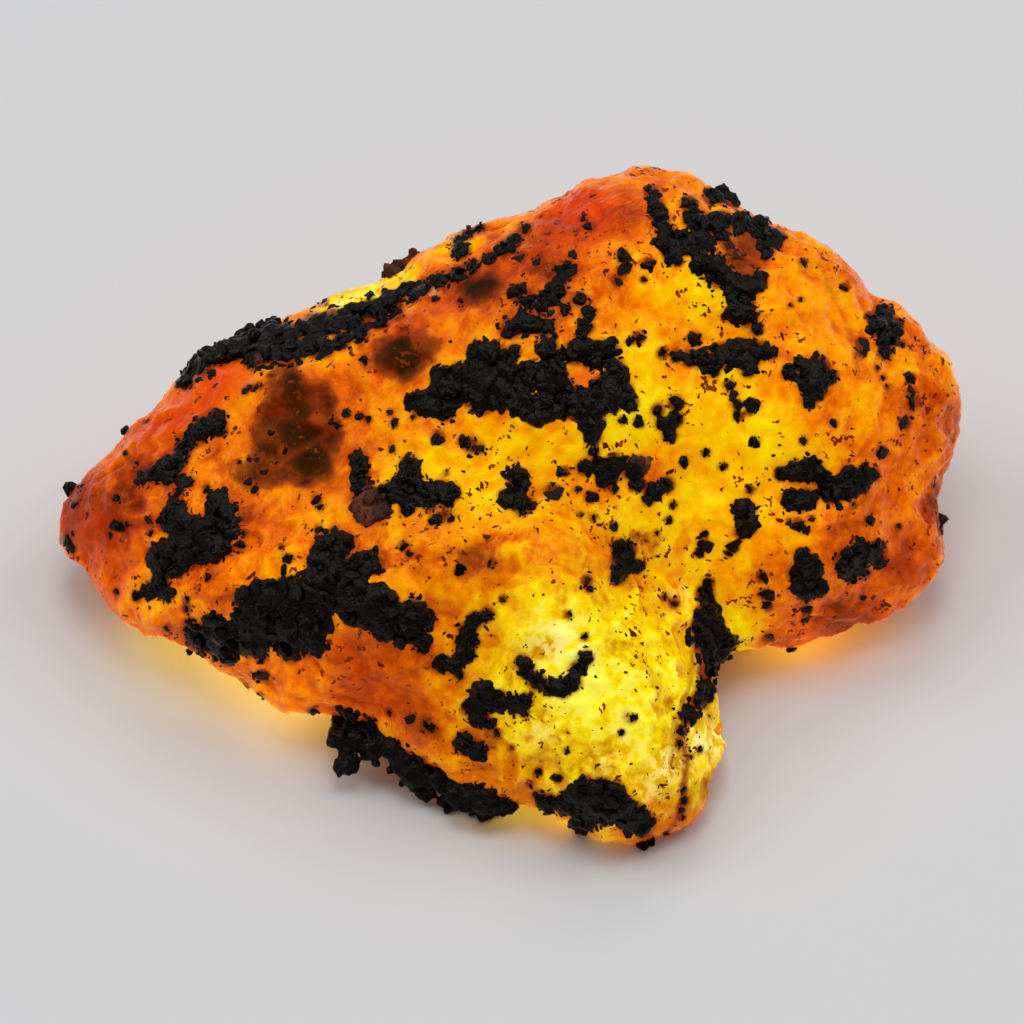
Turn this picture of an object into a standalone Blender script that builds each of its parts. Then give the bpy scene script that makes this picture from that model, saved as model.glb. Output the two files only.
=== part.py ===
"""A rough sapphire: one clear yellow-orange stone, and the patches of black crust that cling to it.

The stone is drawn on squared paper laid over its broad front face: x runs right, y runs down, and
the square at PAPER_CENTRE is the middle of the sheet. The sheet leans back, so a point of it is
turned into the world by on_paper(). A third number, the depth, is metres out of the sheet towards
whoever looks at the face squarely. The stone lies on a table at z = 0.
"""
import math

import bmesh
import bpy
from mathutils import Matrix, Vector, noise
from mathutils.bvhtree import BVHTree

# Driving dimensions, in metres and degrees.
STONE_LENGTH = 0.048        # from the left tip to the right rim
FACE_LEAN = 50.0            # how far above the table the front face looks
PAPER_HEIGHT = 0.00685      # the middle of the sheet above the table
FRONT_SWELL = 0.0074        # how far the stone bulges in front of its rim
BACK_SWELL = 0.0098         # how far it bulges behind its rim
GAP = 0.0003                # between a patch of crust and the stone
LOWEST_CRUST = 0.00025      # the lowest a grain of crust reaches above the table

# The squared paper.
PAPER_CENTRE = (512, 512)
PAPER_RIGHT = 0.00012       # how far the middle of the sheet lies right of the object's middle
PAPER_BACK = 0.00067        # and how far behind it
LEFT_TIP_X = 60
RIGHT_RIM_X = 957
SQUARE = STONE_LENGTH / (RIGHT_RIM_X - LEFT_TIP_X)
STONE_CENTRE = (500, 480)   # every point of the outline can be seen from here

# The outline of the stone in squares, clockwise from the left tip.
OUTLINE = [
    (60, 525), (62, 505), (66, 492), (84, 484), (92, 465), (104, 459), (117, 443), (130, 427),
    (148, 415), (163, 398), (180, 372), (200, 358), (225, 345), (250, 335), (275, 325), (300, 314),
    (320, 306), (345, 292), (365, 286), (385, 275), (400, 262), (425, 249), (450, 236), (475, 227),
    (500, 220), (525, 215), (545, 204), (570, 193), (595, 183), (615, 173), (640, 167), (665, 170),
    (690, 176), (708, 187), (725, 200), (745, 210), (758, 220), (775, 229), (800, 235), (818, 241),
    (832, 250), (850, 268), (870, 287), (885, 301), (905, 312), (922, 324), (935, 345), (945, 359),
    (953, 370), (957, 388), (957, 405), (954, 430), (950, 453), (939, 467), (935, 485), (935, 505),
    (940, 525), (944, 545), (941, 567), (932, 583), (917, 598), (898, 611), (886, 622), (870, 629),
    (845, 630), (825, 639), (805, 645), (788, 650), (765, 647), (745, 644), (737, 646), (727, 655),
    (715, 668), (708, 682), (718, 703), (724, 718), (729, 740), (724, 760), (713, 776), (707, 797),
    (700, 815), (685, 821), (668, 827), (655, 838), (640, 844), (622, 840), (605, 834), (585, 826),
    (560, 812), (530, 798), (505, 792), (478, 790), (455, 785), (440, 775), (430, 763), (410, 752),
    (392, 735), (375, 722), (355, 713), (330, 710), (305, 709), (284, 712), (268, 699), (252, 689),
    (235, 676), (222, 666), (203, 655), (190, 650), (172, 643), (158, 636), (140, 635), (128, 626),
    (113, 608), (100, 592), (93, 577), (80, 565), (72, 552), (62, 545)]

# How far the rim stands in front of the sheet (minus: behind it), metres, at points of the rim.
RIM_DEPTHS = [
    (60, 525, -0.0030), (163, 398, -0.0034), (300, 314, -0.0034), (450, 236, -0.0030),
    (640, 167, -0.0020), (800, 235, -0.0024), (957, 400, -0.0030), (944, 545, -0.0028),
    (880, 625, -0.0022), (790, 650, -0.0022), (738, 645, 0.0000), (715, 690, 0.0015),
    (728, 740, 0.0030), (705, 810, 0.0050), (640, 844, 0.0060), (560, 812, 0.0056),
    (455, 785, 0.0050), (400, 740, 0.0045), (283, 711, 0.0030), (200, 655, 0.0010),
    (135, 632, 0.0000)]
CENTRE_DEPTH = 0.0006

# Swells and hollows of the front face: start, end, reach in squares, and height in metres.
FRONT_RELIEF = [
    ((285, 590), (360, 610), 95, 0.0017),      # belly on the left
    ((330, 700), (450, 760), 45, -0.0012),     # shelf tucked under the belly
    ((560, 590), (620, 790), 75, 0.0020),      # the prong's back
    ((700, 340), (706, 560), 48, -0.0014),     # valley down to the notch
    ((706, 570), (722, 660), 26, -0.0018),     # the notch's own groove
    ((800, 300), (855, 520), 62, 0.0013),      # crest of the right lobe
    ((270, 400), (330, 440), 60, -0.0009),     # hollow with the brown cloud
    ((480, 360), (610, 390), 70, 0.0010),      # shoulder under the middle crust
    ((230, 410), (520, 285), 38, 0.0011),      # ridge along the upper left edge
    ((620, 250), (700, 235), 60, 0.0009),      # top cap
    ((120, 500), (190, 540), 55, 0.0008),      # nose at the left tip
    ((440, 620), (470, 720), 34, -0.0009),     # fold left of the prong
    ((780, 560), (850, 600), 50, 0.0007),      # low swell of the right lobe
    ((640, 640), (665, 790), 26, 0.0007)]      # edge of the prong beside its glassy tail

# Swells and hollows of the back, in the same form; a plus stands out from the back.
BACK_RELIEF = [
    ((300, 420), (520, 330), 70, 0.0012),
    ((640, 260), (800, 360), 80, 0.0010),
    ((560, 420), (600, 600), 45, -0.0010),
    ((200, 500), (280, 560), 60, 0.0008),
    ((860, 420), (880, 520), 50, -0.0007)]

# The underside stays about this high above the table, but comes down to it at its seats.
UNDER_RISE = 0.0010
UNDER_CURL = 2.0            # how fast it lifts towards the edges, metres a square metre
UNDER_MIDDLE = (0.0, 0.002)
UNDER_WAVE = 0.0009         # how far it wanders up and down
UNDER_WAVE_SIZE = 0.008
UNDER_SEATS = [
    ((-0.002, 0.0045), (0.0115, 0.0055)),      # the broad seat: middle, and half its size
    ((0.0072, -0.0165), (0.0040, 0.0030))]     # the toe of the prong
SEAT_DEPTH = 0.0008         # what is ground off the seats, so that they are flat
SKIN_SMOOTHING = 3          # rounds of smoothing that take the drawn corners off
SMOOTHING_SHARE = 0.5

# Patches of crust: grains as (x, y, radius) in squares. Each patch clings to the front face.
FRONT_CRUSTS = {
    "crust_ridge": [
        (182, 375, 13), (200, 364, 14), (217, 352, 15), (234, 346, 16), (252, 340, 15),
        (255, 358, 13), (272, 332, 15), (274, 352, 15), (292, 335, 14), (294, 350, 12),
        (314, 324, 13), (316, 344, 12), (334, 322, 15), (354, 322, 15), (372, 312, 15),
        (392, 303, 14), (408, 291, 9), (424, 287, 9), (440, 281, 9), (457, 275, 8),
        (473, 268, 8), (489, 260, 8), (503, 250, 8), (515, 240, 7)],
    "crust_far_edge": [(458, 252, 10), (456, 241, 8), (468, 232, 8), (483, 226, 7)],
    "crust_centre": [
        (474, 350, 13), (495, 354, 13), (440, 378, 14), (460, 374, 15), (482, 377, 16),
        (505, 372, 15), (530, 380, 15), (552, 376, 16), (420, 405, 13), (436, 404, 13),
        (452, 396, 13), (472, 396, 13), (502, 398, 13), (522, 403, 14), (536, 414, 14),
        (552, 405, 15), (567, 410, 12), (575, 354, 14), (548, 352, 12), (592, 358, 14),
        (608, 352, 12), (618, 372, 12), (626, 392, 12), (612, 402, 11), (590, 405, 14),
        (592, 422, 13), (592, 438, 9)],
    "crust_centre_arm": [
        (565, 276, 12), (558, 290, 12), (547, 302, 11), (577, 298, 10), (530, 304, 9),
        (517, 294, 10)],
    "crust_centre_step": [(512, 328, 12), (529, 322, 12), (545, 328, 11)],
    "crust_centre_post": [(589, 314, 9), (587, 327, 9)],
    "crust_peak": [
        (650, 194, 9), (653, 208, 10), (657, 222, 10), (668, 238, 13), (682, 247, 14),
        (688, 205, 10), (692, 220, 10), (705, 226, 14), (722, 222, 12), (700, 246, 13),
        (742, 223, 13), (760, 224, 12), (775, 238, 12), (766, 250, 8), (702, 266, 11),
        (718, 277, 12), (737, 287, 13), (752, 283, 14), (742, 303, 13), (736, 314, 11),
        (750, 320, 11), (762, 330, 8)],
    "crust_peak_lump": [(712, 197, 9), (724, 196, 10), (736, 200, 8)],
    "crust_collar": [
        (660, 353, 7), (674, 355, 8), (690, 358, 9), (706, 360, 11), (723, 356, 13),
        (740, 353, 13), (757, 351, 11), (772, 352, 8), (748, 369, 9)],
    "crust_shoulder": [
        (788, 372, 9), (802, 369, 12), (818, 369, 12), (829, 377, 9), (818, 391, 10),
        (808, 402, 7)],
    "crust_right_rim": [
        (885, 314, 10), (881, 327, 12), (895, 326, 11), (885, 342, 11), (884, 354, 8)],
    "crust_tuft": [
        (656, 410, 8), (675, 404, 9), (661, 424, 9), (674, 420, 10), (669, 437, 9)],
    "crust_wing": [
        (780, 474, 8), (795, 471, 11), (809, 470, 13), (822, 480, 10), (834, 491, 13),
        (850, 486, 12), (860, 477, 11), (874, 475, 7)],
    "crust_wing_oval": [(791, 500, 10), (806, 499, 11)],
    "crust_wing_low": [
        (801, 555, 9), (807, 567, 13), (806, 581, 14), (816, 588, 10), (805, 594, 8)],
    "crust_wing_twin": [
        (846, 562, 14), (862, 552, 13), (877, 549, 10), (879, 561, 9), (850, 574, 9)],
    "crust_slab": [(743, 511, 12), (746, 525, 11)],
    "crust_belt": [
        (585, 468, 9), (598, 464, 10), (614, 460, 10), (606, 479, 12), (630, 468, 12),
        (636, 482, 9), (652, 492, 10), (665, 485, 10)],
    "crust_twin": [(517, 479, 11), (514, 499, 12), (527, 506, 9)],
    "crust_star": [
        (617, 546, 9), (627, 551, 9), (622, 565, 12), (637, 566, 8), (617, 577, 8)],
    "crust_heart": [
        (372, 503, 14), (388, 496, 12), (402, 486, 11), (410, 468, 10), (414, 498, 11),
        (428, 494, 11), (442, 490, 12), (453, 492, 9)],
    "crust_heart_small": [(358, 461, 10), (359, 474, 9), (360, 485, 9)],
    "crust_brow": [
        (216, 421, 11), (205, 427, 11), (197, 437, 10), (185, 446, 10), (180, 459, 10),
        (168, 465, 10), (155, 474, 9), (142, 479, 8), (167, 478, 8), (181, 481, 8)],
    "crust_cheek": [
        (177, 511, 11), (183, 526, 13), (203, 531, 14), (222, 531, 13), (220, 504, 12),
        (227, 517, 12), (176, 552, 15), (194, 550, 14), (212, 548, 13), (160, 557, 13),
        (167, 570, 10), (162, 586, 10), (150, 591, 8)],
    "crust_belly": [
        (340, 546, 15), (326, 548, 12), (360, 564, 13), (374, 562, 11), (340, 572, 14),
        (335, 590, 18), (310, 585, 16), (355, 592, 16), (375, 597, 14), (390, 610, 16),
        (366, 611, 14), (414, 612, 14), (404, 628, 13), (386, 627, 12), (419, 638, 9),
        (288, 592, 17), (292, 610, 15), (262, 600, 16), (246, 598, 12), (265, 620, 15),
        (245, 624, 15), (305, 632, 18), (282, 634, 14), (289, 655, 9), (233, 640, 15),
        (214, 624, 13), (214, 642, 14), (196, 640, 11), (255, 645, 13), (228, 656, 10)],
    "crust_keel": [
        (345, 720, 13), (342, 738, 14), (360, 744, 15), (348, 762, 11), (377, 746, 13),
        (392, 748, 11), (368, 724, 9), (404, 761, 13), (416, 774, 15), (426, 788, 11),
        (438, 784, 11), (452, 796, 13), (467, 799, 13), (485, 801, 13), (502, 804, 10)],
    "crust_cup": [
        (523, 660, 8), (527, 670, 9), (537, 680, 9), (549, 685, 9), (562, 687, 9),
        (573, 684, 9), (575, 672, 9), (581, 661, 9)],
    "crust_fold": [
        (482, 694, 11), (498, 699, 11), (514, 702, 10), (528, 697, 9), (479, 711, 12)],
    "crust_fold_low": [(464, 742, 11), (479, 750, 9)],
    "crust_knot": [
        (482, 617, 8), (470, 627, 9), (464, 640, 9), (466, 653, 9), (455, 663, 9),
        (442, 662, 10)],
    "crust_seam": [
        (704, 592, 9), (707, 612, 13), (701, 626, 12), (714, 631, 12), (705, 642, 14),
        (722, 645, 12), (709, 657, 12), (705, 671, 10), (704, 685, 10), (697, 699, 11),
        (688, 714, 10), (680, 730, 8)],
    "crust_toe": [
        (548, 801, 10), (566, 801, 13), (581, 792, 13), (597, 789, 13), (611, 796, 12),
        (590, 807, 16), (583, 821, 13), (603, 812, 11), (622, 805, 12), (635, 812, 12),
        (647, 819, 9), (628, 820, 10)]}

# The same for the back of the stone.
BACK_CRUSTS = {
    "crust_back_crown": [
        (566, 226, 14), (586, 218, 15), (606, 222, 14), (626, 212, 13), (594, 236, 12),
        (644, 222, 12), (614, 242, 11)],
    "crust_back_nape": [
        (452, 280, 13), (470, 270, 14), (488, 272, 13), (462, 294, 12), (504, 284, 11),
        (440, 298, 10)],
    "crust_back_shoulder": [
        (752, 262, 14), (772, 272, 16), (788, 292, 14), (764, 288, 13), (804, 300, 11),
        (798, 316, 11), (740, 274, 10)],
    "crust_back_rim": [
        (896, 372, 12), (902, 392, 13), (892, 410, 12), (904, 426, 10), (882, 394, 10)],
    "crust_back_flank": [
        (286, 362, 14), (306, 352, 15), (328, 344, 16), (350, 334, 15), (370, 322, 14),
        (338, 360, 12), (388, 314, 11)],
    "crust_back_nose": [(190, 424, 13), (208, 414, 14), (226, 414, 12), (214, 432, 11)],
    "crust_back_spot": [(690, 300, 12), (704, 310, 13), (694, 324, 11)]}

# Colours, linear RGB.
SAPPHIRE_COLOUR = (0.92, 0.42, 0.03, 1.0)
CRUST_COLOUR = (0.012, 0.012, 0.013, 1.0)

# How finely things are made.
STONE_SUBDIVISIONS = 6
STONE_FACES = 4500
GRAIN_SUBDIVISIONS = 2
CRUST_VOXEL = 0.0002
FACES_PER_GRAIN = 12
FACES_PER_PATCH = 30
FUSING_ATTEMPTS = 8
FUSING_STEP = 0.06
GRAIN_SPREAD = 1.18         # the fused and thinned patch is smaller than its grains by this share
GRAIN_STAND = 0.1           # share of its radius that a grain's middle stands above the gap
ROUGHNESS_SIZE = 0.0026     # between one small swell of the natural skin and the next
ROUGHNESS_HEIGHT = 0.00028


def clear_scene():
    for item in list(bpy.data.objects):
        bpy.data.objects.remove(item, do_unlink=True)


def make_collection(name):
    collection = bpy.data.collections.new(name)
    bpy.context.scene.collection.children.link(collection)
    return collection


def make_material(name, colour, roughness, transmission=0.0, refraction=1.5):
    material = bpy.data.materials.new(name)
    material.use_nodes = True
    shader = material.node_tree.nodes["Principled BSDF"]
    shader.inputs["Base Color"].default_value = colour
    shader.inputs["Roughness"].default_value = roughness
    shader.inputs["Metallic"].default_value = 0.0
    shader.inputs["Transmission Weight"].default_value = transmission
    shader.inputs["IOR"].default_value = refraction
    material.diffuse_color = colour
    return material


def on_paper(x, y, depth=0.0):
    """The world place of a square of the paper, and a depth in metres out of it."""
    right = (x - PAPER_CENTRE[0]) * SQUARE
    up = (PAPER_CENTRE[1] - y) * SQUARE
    lean = math.radians(FACE_LEAN)
    return Vector((PAPER_RIGHT + right,
                   PAPER_BACK + up * math.sin(lean) - depth * math.cos(lean),
                   PAPER_HEIGHT + up * math.cos(lean) + depth * math.sin(lean)))


def facing():
    """The direction out of the paper."""
    lean = math.radians(FACE_LEAN)
    return Vector((0.0, -math.cos(lean), math.sin(lean)))


def around_centre(x, y):
    """The turn of a square about the stone's centre, and how far from it the square lies."""
    across = x - STONE_CENTRE[0]
    down = y - STONE_CENTRE[1]
    return math.atan2(down, across) % math.tau, math.hypot(across, down)


def read_round(table, turn):
    """The value at a turn, between the two neighbours of a table sorted by turn."""
    before = table[-1][0] - math.tau, table[-1][1]
    for entry in table + [(table[0][0] + math.tau, table[0][1])]:
        if entry[0] >= turn:
            share = (turn - before[0]) / max(entry[0] - before[0], 1e-9)
            return before[1] + (entry[1] - before[1]) * share
        before = entry
    return before[1]


def rim_radius(turn):
    """The outline's distance from the centre at a turn, on the straight line between two points."""
    count = len(OUTLINE)
    direction = Vector((math.cos(turn), math.sin(turn)))
    best = 0.0
    for index in range(count):
        start = Vector(OUTLINE[index]) - Vector(STONE_CENTRE)
        end = Vector(OUTLINE[(index + 1) % count]) - Vector(STONE_CENTRE)
        side = end - start
        cross = direction.x * side.y - direction.y * side.x
        if abs(cross) < 1e-9:
            continue
        along = (start.x * side.y - start.y * side.x) / cross
        share = (start.x * direction.y - start.y * direction.x) / cross
        if along > 0.0 and -1e-6 <= share <= 1.0 + 1e-6:
            best = max(best, along)
    return best


def relief(x, y, swells):
    """The sum of the swells at a square; each falls off round the line it runs along."""
    total = 0.0
    for start, end, reach, height in swells:
        line = Vector(end) - Vector(start)
        share = (Vector((x, y)) - Vector(start)).dot(line) / line.length_squared
        nearest = Vector(start) + line * min(max(share, 0.0), 1.0)
        distance = (Vector((x, y)) - nearest).length
        total += height * math.exp(-(distance / reach) ** 2)
    return total


def roughened(place, outward):
    """The place moved in or out a little, as a natural skin is."""
    broad = noise.noise(place / (ROUGHNESS_SIZE * 2.0))
    fine = noise.noise(place / ROUGHNESS_SIZE + Vector((7.0, 3.0, 1.0)))
    return place + outward * ROUGHNESS_HEIGHT * (broad + fine)


def stone_point(direction):
    """Where a direction from the middle of a ball lands on the stone's skin."""
    out = math.hypot(direction.x, direction.y)
    turn = math.atan2(-direction.y, direction.x) % math.tau
    reach = rim_radius(turn) * out
    x = STONE_CENTRE[0] + reach * math.cos(turn)
    y = STONE_CENTRE[1] + reach * math.sin(turn)
    middle = CENTRE_DEPTH + (rim_depth(x, y) - CENTRE_DEPTH) * out
    inside = 1.0 - out ** 4
    if direction.z >= 0.0:
        depth = middle + FRONT_SWELL * direction.z + relief(x, y, FRONT_RELIEF) * inside
    else:
        depth = middle + BACK_SWELL * direction.z - relief(x, y, BACK_RELIEF) * inside
    place = on_paper(x, y, depth)
    outward = (place - on_paper(*STONE_CENTRE)).normalized()
    return roughened(place, outward)


def underside(place):
    """The height that the underside has above (or, at the seats, below) the table."""
    from_middle = Vector((place.x - UNDER_MIDDLE[0], place.y - UNDER_MIDDLE[1], 0.0))
    wave = noise.noise(from_middle / UNDER_WAVE_SIZE)
    height = UNDER_RISE + UNDER_CURL * from_middle.length_squared + UNDER_WAVE * wave
    for middle, half in UNDER_SEATS:
        across = (place.x - middle[0]) / half[0]
        along = (place.y - middle[1]) / half[1]
        near = math.exp(-(across ** 2 + along ** 2) ** 2)
        height += (-SEAT_DEPTH - height) * near
    return height


def smooth_once(work, share):
    """Move each point towards the middle of its neighbours; a negative share moves it back out."""
    middles = []
    for vertex in work.verts:
        neighbours = [edge.other_vert(vertex).co for edge in vertex.link_edges]
        middles.append(sum(neighbours, Vector()) / len(neighbours))
    for vertex, middle in zip(work.verts, middles):
        vertex.co = vertex.co.lerp(middle, share)


def build_stone(collection, material):
    """A ball drawn out to the outline and the swells, and flattened where it lies on the table."""
    work = bmesh.new()
    bmesh.ops.create_icosphere(work, subdivisions=STONE_SUBDIVISIONS, radius=1.0)
    for vertex in work.verts:
        place = stone_point(vertex.co.normalized())
        place.z = max(place.z, underside(place))
        vertex.co = place
    for _ in range(SKIN_SMOOTHING):
        smooth_once(work, SMOOTHING_SHARE)
        smooth_once(work, -SMOOTHING_SHARE * 1.06)
    bmesh.ops.recalc_face_normals(work, faces=work.faces)
    mesh = bpy.data.meshes.new("sapphire")
    work.to_mesh(mesh)
    work.free()
    mesh.materials.append(material)
    stone = bpy.data.objects.new("sapphire", mesh)
    collection.objects.link(stone)
    decimate(stone, STONE_FACES)
    for vertex in stone.data.vertices:
        vertex.co.z = max(vertex.co.z, 0.0)
    return stone


def swollen_copy(stone, distance, collection):
    """A copy of the stone grown by a distance: it cuts the crust, so that a gap is left."""
    mesh = stone.data.copy()
    normals = [vertex.normal.copy() for vertex in mesh.vertices]
    for vertex, normal in zip(mesh.vertices, normals):
        vertex.co = vertex.co + normal * distance
    cutter = bpy.data.objects.new("stone_cutter", mesh)
    collection.objects.link(cutter)
    cutter.hide_render = True
    cutter.display_type = "WIRE"
    return cutter


def rim_depth(x, y):
    """The depth of the rim, read in the direction of a square from the stone's centre."""
    depths = sorted((around_centre(x, y)[0], depth) for x, y, depth in RIM_DEPTHS)
    return read_round(depths, around_centre(x, y)[0])


def grain_centre(x, y, radius, skin, front):
    """Where a grain sits: on the skin below its square, or beside the rim, and above the table."""
    outward = facing() if front else -facing()
    place, normal, _, _ = skin.ray_cast(on_paper(x, y) + outward * STONE_LENGTH, -outward)
    if place is None:
        place = on_paper(x, y, rim_depth(x, y))
    else:
        place = place + normal * (GAP + radius * GRAIN_STAND)
    short = LOWEST_CRUST + radius - place.z
    if short > 0.0:
        place = place + facing() * short / facing().z
    return place


def add_grain(work, centre, radius, seed):
    """A ball with an uneven skin, so that no two grains are alike."""
    made = bmesh.ops.create_icosphere(
        work, subdivisions=GRAIN_SUBDIVISIONS, radius=radius, matrix=Matrix.Translation(centre))
    for vertex in made["verts"]:
        outward = (vertex.co - centre).normalized()
        uneven = noise.noise(outward * 1.7 + Vector((seed, 0.5, 0.0)))
        vertex.co = centre + outward * radius * (1.0 + 0.22 * uneven)


def apply_modifier(thing):
    """Turn what the modifiers make of an object into its own mesh."""
    graph = bpy.context.evaluated_depsgraph_get()
    made = bpy.data.meshes.new_from_object(thing.evaluated_get(graph))
    old = thing.data
    thing.modifiers.clear()
    thing.data = made
    made.name = thing.name
    bpy.data.meshes.remove(old)


def remesh(thing, voxel):
    fuse = thing.modifiers.new("fuse", "REMESH")
    fuse.mode = "VOXEL"
    fuse.voxel_size = voxel
    apply_modifier(thing)


def decimate(thing, faces):
    now = sum(len(polygon.vertices) - 2 for polygon in thing.data.polygons)
    thin = thing.modifiers.new("facets", "DECIMATE")
    thin.ratio = min(1.0, faces / now)
    apply_modifier(thing)


def cut_away(thing, cutter):
    cut = thing.modifiers.new("fit", "BOOLEAN")
    cut.operation = "DIFFERENCE"
    cut.solver = "EXACT"
    cut.object = cutter
    apply_modifier(thing)


def keep_largest_body(thing):
    """Drop crumbs that the cut leaves, so that a patch is one piece."""
    work = bmesh.new()
    work.from_mesh(thing.data)
    bodies = []
    waiting = set(work.verts)
    while waiting:
        found = {waiting.pop()}
        front = list(found)
        while front:
            for edge in front.pop().link_edges:
                for vertex in edge.verts:
                    if vertex not in found:
                        found.add(vertex)
                        front.append(vertex)
        waiting -= found
        bodies.append(found)
    largest = max(bodies, key=len)
    spare = [vertex for body in bodies if body is not largest for vertex in body]
    bmesh.ops.delete(work, geom=spare, context="VERTS")
    bmesh.ops.triangulate(work, faces=work.faces)
    bmesh.ops.recalc_face_normals(work, faces=work.faces)
    work.to_mesh(thing.data)
    work.free()


def is_closed(thing):
    """Whether every edge of an object has exactly two faces."""
    work = bmesh.new()
    work.from_mesh(thing.data)
    closed = all(edge.is_manifold for edge in work.edges)
    work.free()
    return closed


def grains_mesh(name, grains, front, skin):
    work = bmesh.new()
    for number, (x, y, squares) in enumerate(grains):
        radius = squares * SQUARE * GRAIN_SPREAD
        add_grain(work, grain_centre(x, y, radius, skin, front), radius, number)
    mesh = bpy.data.meshes.new(name)
    work.to_mesh(mesh)
    work.free()
    return mesh


def build_crust(name, grains, front, skin, cutter, collection, material):
    """One patch: its grains fused, fitted over the stone and thinned to flat facets.

    A fused mesh can pinch at a point, so a slightly coarser one is tried until it is closed.
    """
    patch = bpy.data.objects.new(name, grains_mesh(name, grains, front, skin))
    collection.objects.link(patch)
    for attempt in range(FUSING_ATTEMPTS):
        patch.data = grains_mesh(name, grains, front, skin)
        remesh(patch, CRUST_VOXEL * (1.0 + FUSING_STEP * attempt))
        cut_away(patch, cutter)
        keep_largest_body(patch)
        decimate(patch, FACES_PER_PATCH + FACES_PER_GRAIN * len(grains))
        if is_closed(patch):
            break
    patch.data.materials.clear()
    patch.data.materials.append(material)


def build():
    clear_scene()
    parts = make_collection("rough_sapphire")
    cutters = make_collection("cutters")
    clear_yellow = make_material("sapphire_yellow", SAPPHIRE_COLOUR, 0.12, 0.85, 1.77)
    black = make_material("crust_black", CRUST_COLOUR, 0.42)
    stone = build_stone(parts, clear_yellow)
    skin = BVHTree.FromObject(stone, bpy.context.evaluated_depsgraph_get())
    cutter = swollen_copy(stone, GAP, cutters)
    for patches, front in ((FRONT_CRUSTS, True), (BACK_CRUSTS, False)):
        for name, grains in patches.items():
            build_crust(name, grains, front, skin, cutter, parts, black)


build()
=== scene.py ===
"""A rough sapphire, dressed: its crumpled skin, glowing with painted light, and the black grains that cling
to it.
"""
import math
import random

import bmesh
import bpy
import numpy as np
from mathutils import Matrix, Vector, noise
from mathutils.bvhtree import BVHTree


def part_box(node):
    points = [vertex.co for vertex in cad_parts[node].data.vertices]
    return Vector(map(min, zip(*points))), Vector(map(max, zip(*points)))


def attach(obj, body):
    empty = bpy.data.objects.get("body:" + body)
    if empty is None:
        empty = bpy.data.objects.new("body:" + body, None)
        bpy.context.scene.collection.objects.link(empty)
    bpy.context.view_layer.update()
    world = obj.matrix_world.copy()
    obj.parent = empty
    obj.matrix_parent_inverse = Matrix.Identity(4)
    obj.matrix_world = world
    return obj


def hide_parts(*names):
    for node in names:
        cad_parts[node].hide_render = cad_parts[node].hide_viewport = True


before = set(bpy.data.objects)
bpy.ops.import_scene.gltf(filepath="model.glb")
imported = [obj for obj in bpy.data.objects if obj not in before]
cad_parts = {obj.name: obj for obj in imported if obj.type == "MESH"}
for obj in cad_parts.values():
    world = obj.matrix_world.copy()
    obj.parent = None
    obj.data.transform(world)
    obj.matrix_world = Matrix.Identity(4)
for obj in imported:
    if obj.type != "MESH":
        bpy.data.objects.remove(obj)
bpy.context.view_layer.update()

SEED = 1907
# Where each field of noise starts, so that no two of them are alike.
FIELDS = {
    "back": 3.0, "mottle": 11.0, "rags_across": 23.0, "rags_down": 29.0, "flecks": 31.0,
    "fine_flecks": 37.0, "wander": 41.0, "rough": 51.0, "patchy": 57.0, "thick": 61.0}

# ---- the squared paper
# As in the part's source: the front face is drawn on squared paper that leans back. x runs right
# and y runs down in squares, and a depth in metres runs out of the sheet, towards the camera.
STONE_LENGTH = 0.048
FACE_LEAN = math.radians(50.0)
PAPER_HEIGHT = 0.00685
PAPER_CENTRE = (512, 512)
PAPER_RIGHT = 0.00012
PAPER_BACK = 0.00067
SQUARE = STONE_LENGTH / (957 - 60)
PAPER_SIDE = 1024
FACING = Vector((0.0, -math.cos(FACE_LEAN), math.sin(FACE_LEAN)))
UPWARD = Vector((0.0, math.sin(FACE_LEAN), math.cos(FACE_LEAN)))
PAPER_MIDDLE = Vector((PAPER_RIGHT, PAPER_BACK, PAPER_HEIGHT))

# ---- the stone's skin
SKIN_VOXEL = 0.000216
SKIN_SMOOTHING, SMOOTHING_SHARE = 2, 0.5
WELD_DISTANCE = 0.000002
# Each layer of relief: size and height in metres. The ridges bend by a share of their size.
WAVE_SIZE, WAVE_HEIGHT = 0.0034, 0.00022
RIDGE_SIZE, RIDGE_HEIGHT = 0.0019, 0.00017
CREASE_SIZE, CREASE_HEIGHT = 0.00085, 0.00008
RIDGE_BEND, RIDGE_STEEPNESS = 0.45, 3.2
CREASE_SHIFT = Vector((0.05, 0.01, 0.02))
# The prong is crumpled more than the rest: where it is, in squares, and how much more.
PRONG_MIDDLE = (600, 705)
PRONG_REACH = 125
PRONG_CRUMPLE = 0.5
# Where the rims stand out or draw in: (x, y, reach, height), all in squares.
SWELLS = [
    (952, 405, 30, 4.0), (943, 357, 22, 7.0), (873, 291, 22, -8.0), (668, 168, 22, -5.0),
    (585, 182, 18, 5.0), (398, 262, 18, -6.0), (105, 455, 22, -5.0), (62, 548, 18, 4.0),
    (724, 724, 16, -8.0), (942, 552, 22, 4.0), (128, 628, 16, -4.0)]

# How light the stone glows: 0 is the deep red-brown of its rims and 1 the pale lemon of the prong.
# The level sets both the stone's colour and its emission, a painted glow that stands in for the light
# shining through it: partly its own tone, partly painted light, lighter or darker by where that light
# would shine through, with painted highlights in a few spots.
# Each entry is (x, y, reach in squares, amount), added to the level of the whole face.
FACE_GLOW = 0.45
BACK_GLOW, BACK_PATCHES, BACK_PATCH_SIZE = 0.40, 0.22, 0.009
MOTTLE_SIZE, MOTTLE = 0.0030, 0.24
# Painted light: the skin is painted lighter along its ridges, standing in for light caught by its crumpled
# facets.
RIDGE_PAINTED_LIGHT, CREASE_PAINTED_LIGHT = 0.050, 0.050
FACET_SIZE, FACET_BEND, FACET_LIGHT = 0.0020, 0.0007, 0.17
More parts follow.
